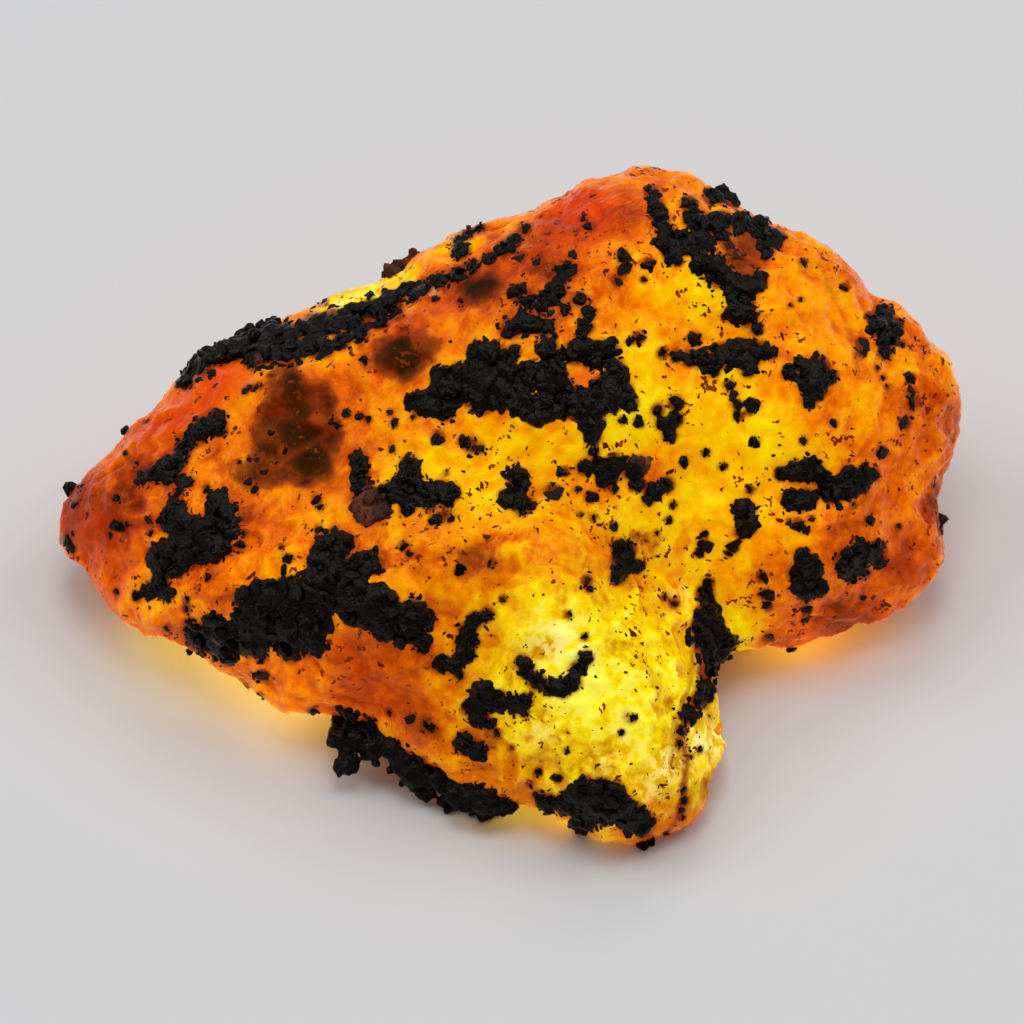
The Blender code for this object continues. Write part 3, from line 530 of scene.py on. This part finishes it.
def glow_level(places, x, y, relief, front, painted_under_glow, prong):
    """How light the skin glows, its tone and its painted light: its face and its back, its mottle, its
    relief painted lighter along the ridges, its facets, and the painted glow of its underside.
    """
    _, ridge, crease = relief
    face = FACE_GLOW + spotted(x, y, GLOW_SPOTS)
    back = BACK_GLOW + BACK_PATCHES * noise_field(places, BACK_PATCH_SIZE, "back")
    level = back + (face - back) * front + painted_under_glow
    level += MOTTLE * noise_field(places, MOTTLE_SIZE, "mottle")
    level += (RIDGE_PAINTED_LIGHT * ridge + CREASE_PAINTED_LIGHT * crease) * (1.0 + prong)
    return level + FACET_LIGHT * (facet_field(places) - 0.5) * (1.0 + prong)


def cloud_depth(places, x, y, front):
    """How dark the clouds are, with ragged edges and uneven insides."""
    ragged_x = x + CLOUD_RAGGED * noise_field(places, CLOUD_RAGS, "rags_across")
    ragged_y = y + CLOUD_RAGGED * noise_field(places, CLOUD_RAGS, "rags_down")
    thick = 1.0 + CLOUD_UNEVEN * noise_field(places, CLOUD_PATCHES, "thick")
    return clouded(ragged_x, ragged_y) * front * thick


def fleck_zones(places):
    """1 where the fine flecks lie thick, and 0 where there are few."""
    zones = noise_field(places, FLECKED_SIZES[0], "flecks")
    zones += FLECKED_SHARE * noise_field(places, FLECKED_SIZES[1], "fine_flecks")
    return smoothstep(*FLECKED_FADE, zones)


def paint_stone(mesh, relief):
    """Store on the skin how light and how red it glows, its painted glow and painted highlights, its clouds
    and where its flecks lie.
    """
    places, normals = shape_of(mesh)
    front = smoothstep(*FRONT_FADE, normals @ np.array(FACING))
    under = smoothstep(*UNDER_FADE, -normals[:, 2])
    x, y, _ = off_paper(places)
    prong = prong_share(x, y) * front
    painted_glow_below = spotted(x, y, UNDER_PAINTED_GLOWS)
    # Painted light: the underside is painted yellower where its glow falls on the table.
    painted_under_glow = UNDER_PAINTED_YELLOW * np.clip(painted_glow_below, 0.0, 1.0) * under
    store(mesh, "glow", glow_level(places, x, y, relief, front, painted_under_glow, prong))
    # The face's red tone, and under the right rim a redder painted glow that falls on the table.
    store(mesh, "red", spotted(x, y, RED_SPOTS) * front + spotted(x, y, UNDER_PAINTED_REDS) * under)
    cloud = cloud_depth(places, x, y, front)
    store(mesh, "cloud", np.clip(cloud * CLOUD_STRENGTH, 0.0, 1.0))
    store(mesh, "core", smoothstep(*CORE_FADE, cloud))
    store(mesh, "vivid", 1.0 + PRONG_VIVID * prong)
    store(mesh, "lemon", np.clip(PRONG_LEMON * prong + spotted(x, y, CLEAR_SPOTS) * front, 0.0, 1.0))
    # Painted highlights on the face, and a paler painted glow under the lower-left rim.
    painted_glints_and_glow = np.clip(spotted(x, y, PAINTED_GLINTS), 0.0, 1.0) * front
    pale = np.clip(spotted(x, y, UNDER_PAINTED_PALES), 0.0, 1.0) * under
    store(mesh, "painted_glints_and_glow", np.maximum(painted_glints_and_glow, pale))
    store(mesh, "flecked", fleck_zones(places) * (1.0 - PRONG_FLECKS * prong))
    # Darker under the crust, a stain, and darker along the creases.
    wander_x = x + CREASE_WANDER * noise_field(places, CREASE_WANDER_SIZE, "wander")
    dark = np.maximum(stained(x, y), creased(wander_x, y))
    store(mesh, "stain_and_creases", dark * front)
    # Painted light: how strongly the skin's emission glows, weak on the underside but for the lower rims,
    # whose glow lights the table as a painted pool of light.
    store(mesh, "light", 1.0 + (UNDER_PAINTED_LIGHT + painted_glow_below - 1.0) * under)


def build_stone(material):
    """The stone's solid, remeshed finely and crumpled as the natural skin is."""
    stone = new_object("sapphire_skin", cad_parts["sapphire"].data.copy())
    weld = stone.modifiers.new("weld", "WELD")
    weld.merge_threshold = WELD_DISTANCE
    round_off = stone.modifiers.new("round_off", "SUBSURF")
    round_off.levels = 1
    fine = stone.modifiers.new("fine", "REMESH")
    fine.mode = "VOXEL"
    fine.voxel_size = SKIN_VOXEL
    smooth = stone.modifiers.new("smooth", "SMOOTH")
    smooth.factor = SMOOTHING_SHARE
    smooth.iterations = SKIN_SMOOTHING
    applied(stone)
    mesh = stone.data
    places, normals = shape_of(mesh)
    relief = np.array([crumple(Vector(place)) for place in places]).T
    x, y, _ = off_paper(places)
    stronger = 1.0 + PRONG_CRUMPLE * prong_share(x, y)
    heights = WAVE_HEIGHT * relief[0] + stronger * (RIDGE_HEIGHT * relief[1] + CREASE_HEIGHT * relief[2])
    heights += spotted(x, y, SWELLS) * SQUARE
    reshape(mesh, places + normals * heights[:, None], 0.0, material)
    paint_stone(mesh, relief)
    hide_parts("sapphire")
    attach(stone, "root")
    return stone


# ---- the grains
def grain_shapes(corner_count, rng):
    """Blocky lumps of unit radius: the hulls of points thrown onto a ball."""
    shapes = []
    for _ in range(GRAIN_SHAPES):
        work = bmesh.new()
        for _ in range(corner_count):
            corner = Vector([rng.gauss(0.0, 1.0) for _ in range(3)]).normalized()
            bmesh.ops.create_vert(work, co=corner * rng.uniform(*GRAIN_UNEVEN))
        hull = bmesh.ops.convex_hull(work, input=work.verts)
        loose = [item for item in hull["geom_interior"] if isinstance(item, bmesh.types.BMVert)]
        bmesh.ops.delete(work, geom=loose, context="VERTS")
        bmesh.ops.recalc_face_normals(work, faces=work.faces)
        work.verts.index_update()
        corners = np.array([vertex.co[:] for vertex in work.verts])
        faces = np.array([[vertex.index for vertex in face.verts] for face in work.faces])
        shapes.append((corners, faces))
        work.free()
    return shapes


def nearest_skin(x, y, skin):
    """Beside the rim: the gap to the skin, the place on it nearest the line of sight, and the place
    on that line."""
    best = None
    for step in range(HANGING_STEPS + 1):
        depth = STONE_LENGTH * (step / HANGING_STEPS - 0.5) * HANGING_SEARCH
        beside = on_paper(x, y, depth)
        touching, _, _, gap = skin.find_nearest(beside)
        if best is None or gap < best[0]:
            best = (gap, touching, beside)
    return best


class GrainHeap:
    """Gathers grains that lie on the skin, in front or behind, and makes one mesh of them.

    A patch of crust that reaches past the rim gives the depth at which its own grains hang there."""

    def __init__(self, shapes, skin, rng, front=True, patch_depth=None):
        self.shapes = shapes
        self.skin = skin
        self.rng = rng
        self.front = front
        self.patch_depth = patch_depth
        self.corners = []
        self.faces = []
        self.tints = []
        self.count = 0

    def add(self, centre, normal, radius, height, length=1.0):
        corners, faces = self.rng.choice(self.shapes)
        turn = Vector((0.0, 0.0, 1.0)).rotation_difference(normal).to_matrix()
        spin = Matrix.Rotation(self.rng.uniform(0.0, math.tau), 3, "Z")
        tall = height * self.rng.uniform(*GRAIN_TALL)
        wide = radius * self.rng.uniform(*GRAIN_WIDE)
        size = Matrix.Diagonal((radius * length, wide, radius * tall))
        placed = corners @ np.array(turn @ spin @ size).T + np.array(centre)
        placed[:, 2] = np.maximum(placed[:, 2], LOWEST_GRAIN)
        self.corners.append(placed)
        self.faces.append(faces + self.count)
        self.tints.append(np.full(len(corners), self.rng.random()))
        self.count += len(corners)

    def on_skin(self, x, y):
        """The skin's place and normal under a square, or None beside the rim."""
        outward = FACING if self.front else -FACING
        place, normal, _, _ = self.skin.ray_cast(on_paper(x, y) + outward * STONE_LENGTH, -outward)
        return place, normal

    def hang(self, x, y, radius):
        """A grain's place where there is no skin behind it, or None if nothing is near to hold it."""
        gap, touching, beside = nearest_skin(x, y, self.skin)
        if gap > radius * HANGING_REACH:
            return None if self.patch_depth is None else on_paper(x, y, self.patch_depth)
        return touching + (beside - touching) * min(1.0, radius * HANGING_GAP / max(gap, 0.000001))

    def around(self, x, y, distance):
        turn = self.rng.uniform(0.0, math.tau)
        return x + distance * math.cos(turn), y + distance * math.sin(turn)

    def add_on_skin(self, x, y, squares, height, sink):
        """A grain sunk into the skin, or hung beside the rim where there is no skin behind it."""
        place, normal = self.on_skin(x, y)
        radius = squares * SQUARE
        if place is None:
            place = self.hang(x, y, radius)
            normal = FACING
            if place is None:
                return
        else:
            place = place - normal * radius * sink
        short = radius * height - place.z
        if short > 0.0:
            place = place + FACING * short / FACING.z
        self.add(place, normal, radius, height)

    def add_near(self, lobe, count, places, sizes, height, sink):
        """Grains round a drawn one, their distances and sizes in shares of its radius."""
        x, y, squares = lobe
        for _ in range(count):
            near_x, near_y = self.around(x, y, squares * self.rng.uniform(*places))
            self.add_on_skin(near_x, near_y, squares * self.rng.uniform(*sizes), height, sink)

    def add_small(self, lobe, share, places):
        self.add_near(lobe, round(lobe[2] * share), places, *SMALL_SHAPE)

    def add_lobe(self, lobe):
        """One drawn grain: its base, the lumps on it, and the small grains that crowd round it."""
        x, y, squares = lobe
        self.add_on_skin(x, y, squares * BASE_SIZE, BASE_HEIGHT, BASE_SINK)
        self.add_near(lobe, *LUMPS)
        self.add_small(lobe, SMALL_GRAINS, SMALL_PLACES)

    def mesh(self, name, material):
        mesh = bpy.data.meshes.new(name)
        corners = np.concatenate(self.corners)
        faces = np.concatenate(self.faces)
        mesh.from_pydata(corners.tolist(), [], faces.tolist())
        store(mesh, "tint", np.concatenate(self.tints))
        mesh.shade_flat()
        mesh.materials.append(material)
        return mesh


def islands(mesh):
    """A number for each vertex, the same for all those that hang together."""
    edges = np.empty(len(mesh.edges) * 2, dtype=np.int64)
    mesh.edges.foreach_get("vertices", edges)
    first, second = edges.reshape(-1, 2).T
    island = np.arange(len(mesh.vertices))
    while True:
        lowest = np.minimum(island[first], island[second])
        lower = island.copy()
        np.minimum.at(lower, first, lowest)
        np.minimum.at(lower, second, lowest)
        lower = lower[lower]
        if np.array_equal(lower, island):
            return island
        island = lower


def drop_floating(mesh, skin):
    """Remove the parts of a mass that touch neither the skin nor the rest of it."""
    island = islands(mesh)
    names, sizes = np.unique(island, return_counts=True)
    floating = []
    for name in names[sizes < sizes.max()]:
        members = np.flatnonzero(island == name)
        gaps = [skin.find_nearest(mesh.vertices[int(index)].co)[3] for index in members]
        if min(gaps) > FLOATING_GAP:
            floating.extend(members.tolist())
    work = bmesh.new()
    work.from_mesh(mesh)
    work.verts.ensure_lookup_table()
    bmesh.ops.delete(work, geom=[work.verts[index] for index in floating], context="VERTS")
    work.to_mesh(mesh)
    work.free()


def fuse(piece, skin, material):
    """Turn a heap of grains into one rough mass, duller in some places than in others."""
    fine = piece.modifiers.new("fine", "REMESH")
    fine.mode = "VOXEL"
    fine.voxel_size = CRUST_VOXEL
    applied(piece)
    mesh = piece.data
    drop_floating(mesh, skin)
    places, normals = shape_of(mesh)
    rough = noise_field(places, ROUGH_SIZE, "rough") * ROUGH_HEIGHT
    places = places + normals * rough[:, None]
    reshape(mesh, places, LOWEST_GRAIN, material)
    store(mesh, "tint", np.clip(0.5 + noise_field(places, PATCHY_SIZE, "patchy"), 0.0, 1.0))


def patch_depth(node):
    """The depth of the middle of a patch's solid, for grains that hang beside the rim."""
    low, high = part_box(node)
    return ((low + high) / 2.0 - PAPER_MIDDLE).dot(FACING)


def build_mass(name, lobes, heap, material):
    for lobe in lobes:
        heap.add_lobe(lobe)
    piece = new_object(name, heap.mesh(name, material))
    fuse(piece, heap.skin, material)
    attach(piece, "root")
    return piece


def build_crust(node, lobes, heap, material):
    piece = build_mass(node + "_grains", lobes, heap, material)
    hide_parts(node)


def build_loose(heap, name, material):
    piece = new_object(name, heap.mesh(name, material))
    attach(piece, "root")


def build_lone_grains(heap, material):
    for lobe in LONE_GRAINS:
        x, y, squares = lobe
        heap.add_on_skin(x, y, squares * LONE_SIZE, LONE_HEIGHT, LONE_SINK)
        heap.add_small(lobe, LONE_SMALL_GRAINS, LONE_PLACES)
    build_loose(heap, "lone_grains", material)


def build_edge_grains(name, patches, heap, material):
    """Loose grains along the edges of the patches and on top of them."""
    for lobes, front in patches:
        heap.front = front
        for lobe in lobes:
            heap.add_small(lobe, EDGE_GRAINS, EDGE_PLACES)
            heap.add_near(lobe, *BLOCKS)
    build_loose(heap, name, material)


def add_clump(heap, x, y, kind):
    """A strewn grain, and up to two smaller ones against it."""
    place, normal = heap.on_skin(x, y)
    if place is None or place.z < LOWEST_STREWN:
        return
    rng = heap.rng
    size = rng.uniform(*kind["sizes"])
    for _ in range(rng.randint(1, CLUMP)):
        heap.add(place, normal, size * SQUARE, kind["height"], rng.uniform(*kind["lengths"]))
        beside, normal = heap.on_skin(*heap.around(x, y, size * CLUMP_STEP))
        if beside is None:
            return
        place = beside
        size *= rng.uniform(*CLUMP_SHRINK)


def scatter(name, kind, belonging, heap, material):
    """Small grains strewn over the skin, a share of those in front near the given places."""
    rng = heap.rng
    for heap.front, count in zip((True, False), kind["counts"]):
        for _ in range(count):
            x = rng.uniform(*STREWN_ACROSS)
            y = rng.uniform(*STREWN_DOWN)
            if heap.front and rng.random() < kind["near"]:
                near_x, near_y, spread = rng.choice(belonging)
                x = rng.gauss(near_x, spread)
                y = rng.gauss(near_y, spread)
            add_clump(heap, x, y, kind)
    build_loose(heap, name, material)


# ---- materials
class Nodes:
    """A short way to build a material's nodes."""

    def __init__(self, name):
        self.material = bpy.data.materials.new(name)
        self.material.use_nodes = True
        self.tree = self.material.node_tree
        self.shader = self.tree.nodes["Principled BSDF"]
        self.output = self.tree.nodes["Material Output"]
        self.where = self.tree.nodes.new("ShaderNodeTexCoord").outputs["Object"]

    def add(self, kind, **settings):
        node = self.tree.nodes.new(kind)
        for name, value in settings.items():
            setattr(node, name, value)
        return node

    def link(self, source, target):
        self.tree.links.new(source, target)

    def put(self, target, value):
        """Link a socket, or give it a number or an opaque colour."""
        if isinstance(value, tuple):
            target.default_value = (*value, 1.0)
        elif isinstance(value, (int, float)):
            target.default_value = value
        else:
            self.link(value, target)

    def fill(self, node, sockets):
        """Set or link a node's sockets, by their names or numbers."""
        for name, value in sockets.items():
            self.put(node.inputs[name], value)
        return node

    def attribute(self, name):
        return self.add("ShaderNodeAttribute", attribute_name=name).outputs["Fac"]

    def math(self, operation, first, second=0.0, third=0.0):
        node = self.add("ShaderNodeMath", operation=operation)
        for target, value in zip(node.inputs, (first, second, third)):
            self.put(target, value)
        return node.outputs[0]

    def noise(self, size, detail=3.0, rough=0.5):
        node = self.add("ShaderNodeTexNoise")
        self.fill(node, {"Vector": self.where, "Scale": 1.0 / size, "Detail": detail, "Roughness": rough})
        return node.outputs["Fac"]

    def scaled(self, colour, share):
        node = self.add("ShaderNodeVectorMath", operation="SCALE")
        self.fill(node, {0: colour, "Scale": share})
        return node.outputs[0]

    def spread(self, value, low, high, bottom=0.0, top=1.0):
        node = self.add("ShaderNodeMapRange", interpolation_type="SMOOTHSTEP")
        self.fill(node, {"Value": value, "From Min": low, "From Max": high})
        self.fill(node, {"To Min": bottom, "To Max": top})
        return node.outputs[0]

    def ramp(self, value, stops):
        """A colour ramp whose stops reach from 0 to the top, for a value already divided by it."""
        node = self.add("ShaderNodeValToRGB")
        self.link(value, node.inputs[0])
        elements = node.color_ramp.elements
        while len(elements) > 1:
            elements.remove(elements[-1])
        elements[0].position = stops[0][0] / RAMP_TOP
        elements[0].color = (*stops[0][1], 1.0)
        for place, colour in stops[1:]:
            elements.new(place / RAMP_TOP).color = (*colour, 1.0)
        return node.outputs["Color"]

    def mix(self, share, first, second):
        node = self.add("ShaderNodeMix", data_type="RGBA")
        self.fill(node, {"Factor": share, 6: first, 7: second})
        return node.outputs[2]

    def bump(self, height, distance, strength=1.0):
        node = self.add("ShaderNodeBump")
        self.fill(node, {"Height": height, "Distance": distance, "Strength": strength})
        return node.outputs["Normal"]


GLOW_RAMP = [
    (0.0, (0.085, 0.009, 0.001)),
    (0.18, (0.34, 0.04, 0.002)),
    (0.34, (0.64, 0.115, 0.001)),
    (0.5, (0.82, 0.265, 0.0)),
    (0.64, (0.85, 0.42, 0.0)),
    (0.78, (0.86, 0.56, 0.001)),
    (0.92, (0.85, 0.7, 0.003)),
    (1.1, (0.88, 0.85, 0.06))]
# The prong is clearer: its darker folds are olive gold and not orange.
PRONG_RAMP = [
    (0.45, (0.42, 0.15, 0.001)),
    (0.62, (0.56, 0.32, 0.001)),
    (0.8, (0.78, 0.56, 0.001)),
    (0.96, (0.86, 0.74, 0.003)),
    (1.1, (0.89, 0.86, 0.07))]
RED_COLOUR = (0.640, 0.038, 0.002)
HAZE_COLOUR = (0.260, 0.026, 0.003)
CLOUD_COLOUR = (0.050, 0.0040, 0.0010)
CORE_COLOUR = (0.003, 0.0005, 0.0002)
# The colour of the painted highlights, and of the paler painted glow under the rims.
PAINTED_GLINT_COLOUR = (0.940, 0.890, 0.280)
FLECK_COLOUR = (0.130, 0.011, 0.001)
STAIN_COLOUR = (0.190, 0.018, 0.001)
SHEEN_COLOUR = (1.0, 0.55, 0.06)
RAMP_TOP = 1.1
# Each noise: its size in metres, its detail and its roughness.
MOTTLE_NOISE, SPECK_NOISE, PIT_NOISE = (0.0008, 4.0, 0.66), (0.00046, 2.0, 0.6), (0.0004, 3.0, 0.7)
FINE_MOTTLE = 0.55
SPECK_BUMP, SPECK_STRENGTH, PIT_BUMP = 0.00010, 0.7, 0.00016
# Each fade: where a layer starts and where it is full, and its strengths there if not 0 and 1.
PAINTED_GLINT_FADE, FLECK_FADE, WORN_FADE = (0.46, 0.56), (0.7, 0.73), (0.15, 0.7)
HAZE_FADE, SMOKE_FADE = (0.36, 0.85, 0.0, 0.85), (0.56, 1.2)
SMOKE_GAPS, CORE_GAPS = (0.34, 0.5, 0.75, 1.0), (0.36, 0.54, 0.7, 1.0)
CLOUD_SPECKS, FLECK_ZONES = 0.6, 0.1
CRUST_SHEEN = (1.0, 0.88, 0.74)
# The strength of the painted glow: the stone's emission, which stands in for the light that shines through
# it.
STONE_PAINTED_GLOW = 0.54
STONE_CLEARNESS = 0.30
SAPPHIRE_INDEX = 1.77
STONE_SHINE = 0.05
STONE_ROUGHNESS, CLOUD_ROUGHNESS, TINT_ROUGHNESS = 0.20, 0.45, 0.30
STONE_TINT, STONE_ABSORPTION = (1.0, 0.74, 0.05), 230.0
# The crust's colours, from its darkest to its lightest.
BLACK_DARK, BLACK_LIGHT = (0.0003, 0.0002, 0.0001), (0.0035, 0.0024, 0.0015)
RUSTY_DARK, RUSTY_LIGHT = (0.045, 0.010, 0.005), (0.230, 0.062, 0.027)
BROWN_DARK, BROWN_LIGHT = (0.090, 0.009, 0.002), (0.520, 0.060, 0.006)


def glow_colour(n, mottle):
    """The clear stone: its ramps of colour, where it turns red, and its painted highlights, pale flashes.
    """
    fine = n.math("MULTIPLY", n.math("SUBTRACT", mottle, 0.5), FINE_MOTTLE)
    fine = n.math("MULTIPLY", fine, n.attribute("vivid"))
    level = n.math("DIVIDE", n.math("ADD", n.attribute("glow"), fine), RAMP_TOP)
    lemon = n.ramp(level, PRONG_RAMP)
    colour = n.mix(n.attribute("lemon"), n.ramp(level, GLOW_RAMP), lemon)
    colour = n.mix(n.attribute("red"), colour, RED_COLOUR)
    painted_flash = n.math("MULTIPLY", n.attribute("painted_glints_and_glow"), n.spread(mottle, *PAINTED_GLINT_FADE))
    return n.mix(painted_flash, colour, PAINTED_GLINT_COLOUR)


def add_clouds(n, colour, mottle, speck):
    """The clouds: a thin haze, smoke inside it, and nearly black cores."""
    cover = n.math("MULTIPLY_ADD", speck, CLOUD_SPECKS, n.attribute("cloud"))
    colour = n.mix(n.spread(cover, *HAZE_FADE), colour, HAZE_COLOUR)
    smoke = n.spread(cover, *SMOKE_FADE)
    smoke = n.math("MULTIPLY", smoke, n.spread(mottle, *SMOKE_GAPS))
    colour = n.mix(smoke, colour, CLOUD_COLOUR)
    core = n.math("MULTIPLY", n.attribute("core"), n.spread(speck, *CORE_GAPS))
    return n.mix(core, colour, CORE_COLOUR)


def stone_material():
    """Clear yellow sapphire: its colour, and its emission, a painted glow standing in for the light that
    shines through it, vary over the face, with clouds, flecks and creases.
    """
    n = Nodes("sapphire_yellow")
    mottle = n.noise(*MOTTLE_NOISE)
    colour = glow_colour(n, mottle)
    speck = n.noise(*SPECK_NOISE)
    colour = add_clouds(n, colour, mottle, speck)
    colour = n.mix(n.attribute("stain_and_creases"), colour, STAIN_COLOUR)
    fleck = n.spread(n.math("MULTIPLY_ADD", n.attribute("flecked"), FLECK_ZONES, speck), *FLECK_FADE)
    colour = n.mix(fleck, colour, FLECK_COLOUR)
    n.fill(n.shader, {
        "Base Color": colour,
        # Painted light: the emission, in the stone's own colour, stands in for the light shining through
        # it.
        "Emission Color": n.scaled(colour, n.attribute("light")),
        "Emission Strength": STONE_PAINTED_GLOW,
        "Transmission Weight": STONE_CLEARNESS,
        "IOR": SAPPHIRE_INDEX,
        "Roughness": n.math("MULTIPLY_ADD", n.attribute("cloud"), CLOUD_ROUGHNESS, STONE_ROUGHNESS),
        "Specular IOR Level": STONE_SHINE,
        "Specular Tint": SHEEN_COLOUR})
    clear = n.math("SUBTRACT", 1.0, n.attribute("cloud"))
    n.fill(n.shader, {"Normal": n.bump(n.math("MULTIPLY", speck, clear), SPECK_BUMP, SPECK_STRENGTH)})
    volume = n.fill(n.add("ShaderNodeVolumeAbsorption"), {"Color": STONE_TINT, "Density": STONE_ABSORPTION})
    n.link(volume.outputs[0], n.output.inputs["Volume"])
    n.material.cycles.emission_sampling = "NONE"
    return n.material


def grain_material(name, dark, light, rough, shine, glow=0.0):
    """A black or rusty mineral, a little different from place to place; thin flecks are given a painted
    glow, an emission standing in for light that shines through them.
    """
    n = Nodes(name)
    pattern = n.noise(*PIT_NOISE)
    worn = n.spread(n.math("MULTIPLY", pattern, n.attribute("tint")), *WORN_FADE)
    colour = n.mix(worn, dark, light)
    n.fill(n.shader, {
        "Base Color": colour,
        "Emission Color": colour,
        "Emission Strength": glow,
        "Roughness": n.math("MULTIPLY_ADD", n.attribute("tint"), TINT_ROUGHNESS, rough),
        "Specular IOR Level": shine,
        "Specular Tint": CRUST_SHEEN,
        "Normal": n.bump(pattern, PIT_BUMP)})
    n.material.cycles.emission_sampling = "NONE"
    return n.material


def floor_material():
    """A smooth pale table."""
    n = Nodes("table")
    n.fill(n.shader, {"Base Color": TABLE_COLOUR, "Roughness": TABLE_ROUGHNESS})
    n.fill(n.shader, {"Specular IOR Level": TABLE_SHINE})
    return n.material


# ---- stage, lights and camera
FLOOR_SIZE = 3.0
TABLE_COLOUR, TABLE_ROUGHNESS, TABLE_SHINE = (0.745, 0.740, 0.745), 0.75, 0.25
SKY_COLOUR, SKY_STRENGTH = (0.98, 0.99, 1.0), 0.25
VIEW_DISTANCE = 0.9135
SENSOR = 36.0
# Soft round lamps above and all round: name, place and power in watts.
LAMPS = [
    ("soft_left", (-0.60, 0.15, 0.75), 1.9), ("soft_right", (0.60, 0.15, 0.75), 1.9),
    ("soft_back", (0.0, 0.60, 0.80), 1.4), ("soft_top", (0.0, 0.05, 0.95), 2.2)]
LAMP_AIM = Vector((0.0, 0.0, 0.008))
LAMP_SIZE = 0.50
LAMP_COLOUR = (0.97, 0.99, 1.0)


def build_stage():
    bpy.ops.mesh.primitive_plane_add(size=FLOOR_SIZE, location=(0.0, 0.0, 0.0))
    table = bpy.context.object
    table.name = "table"
    table.data.materials.append(floor_material())


def add_lamp(name, place, power):
    light = bpy.data.lights.new(name, "AREA")
    light.shape = "DISK"
    light.size = LAMP_SIZE
    light.energy = power
    light.color = LAMP_COLOUR
    lamp = new_object(name, light)
    lamp.location = place
    lamp.rotation_euler = (LAMP_AIM - Vector(place)).to_track_quat("-Z", "Y").to_euler()


def build_lights():
    world = bpy.data.worlds.new("studio")
    world.use_nodes = True
    sky = world.node_tree.nodes["Background"]
    sky.inputs["Color"].default_value = (*SKY_COLOUR, 1.0)
    sky.inputs["Strength"].default_value = SKY_STRENGTH
    bpy.context.scene.world = world
    for name, place, power in LAMPS:
        add_lamp(name, place, power)


def build_camera():
    data = bpy.data.cameras.new("camera")
    data.sensor_width = SENSOR
    data.lens = SENSOR * VIEW_DISTANCE / (PAPER_SIDE * SQUARE)
    data.clip_start = 0.01
    data.clip_end = 20.0
    camera = new_object("camera", data)
    camera.location = on_paper(PAPER_SIDE / 2, PAPER_SIDE / 2, VIEW_DISTANCE)
    camera.rotation_euler = (math.pi / 2 - FACE_LEAN, 0.0, 0.0)
    bpy.context.scene.camera = camera


def build():
    noise.seed_set(SEED)
    rng = random.Random(SEED)
    black = grain_material("crust_black", BLACK_DARK, BLACK_LIGHT, rough=0.12, shine=0.17)
    rusty = grain_material("crust_rusty", RUSTY_DARK, RUSTY_LIGHT, rough=0.5, shine=0.25)
    # The brown flecks are given a painted glow, an emission standing in for light shining through them.
    brown = grain_material("fleck_brown", BROWN_DARK, BROWN_LIGHT, rough=0.45, shine=0.12, glow=0.35)
    stone = build_stone(stone_material())
    skin = BVHTree.FromObject(stone, bpy.context.evaluated_depsgraph_get())
    shapes, blocks, crumbs = [grain_shapes(corners, rng) for corners in CORNERS]
    patches = []
    for crusts, front in ((FRONT_CRUSTS, True), (BACK_CRUSTS, False)):
        for node, lobes in crusts.items():
            build_crust(node, lobes, GrainHeap(shapes, skin, rng, front, patch_depth(node)), black)
            patches.append((lobes, front))
    build_mass("rusty_grains", RUSTY_GRAINS, GrainHeap(shapes, skin, rng), rusty)
    build_edge_grains("rusty_blocks", [(RUSTY_GRAINS, True)], GrainHeap(blocks, skin, rng), rusty)
    build_edge_grains("edge_grains", patches, GrainHeap(blocks, skin, rng), black)
    build_lone_grains(GrainHeap(blocks, skin, rng), black)
    by_crust = [(x, y, r * NEAR_CRUST) for patch in FRONT_CRUSTS.values() for x, y, r in patch]
    scatter("crumbs", CRUMBS, by_crust, GrainHeap(crumbs, skin, rng), black)
    scatter("flecks", FLECKS, by_crust, GrainHeap(crumbs, skin, rng), brown)
    build_stage()
    build_lights()
    build_camera()
    bpy.context.scene.view_settings.view_transform = "Standard"


build()
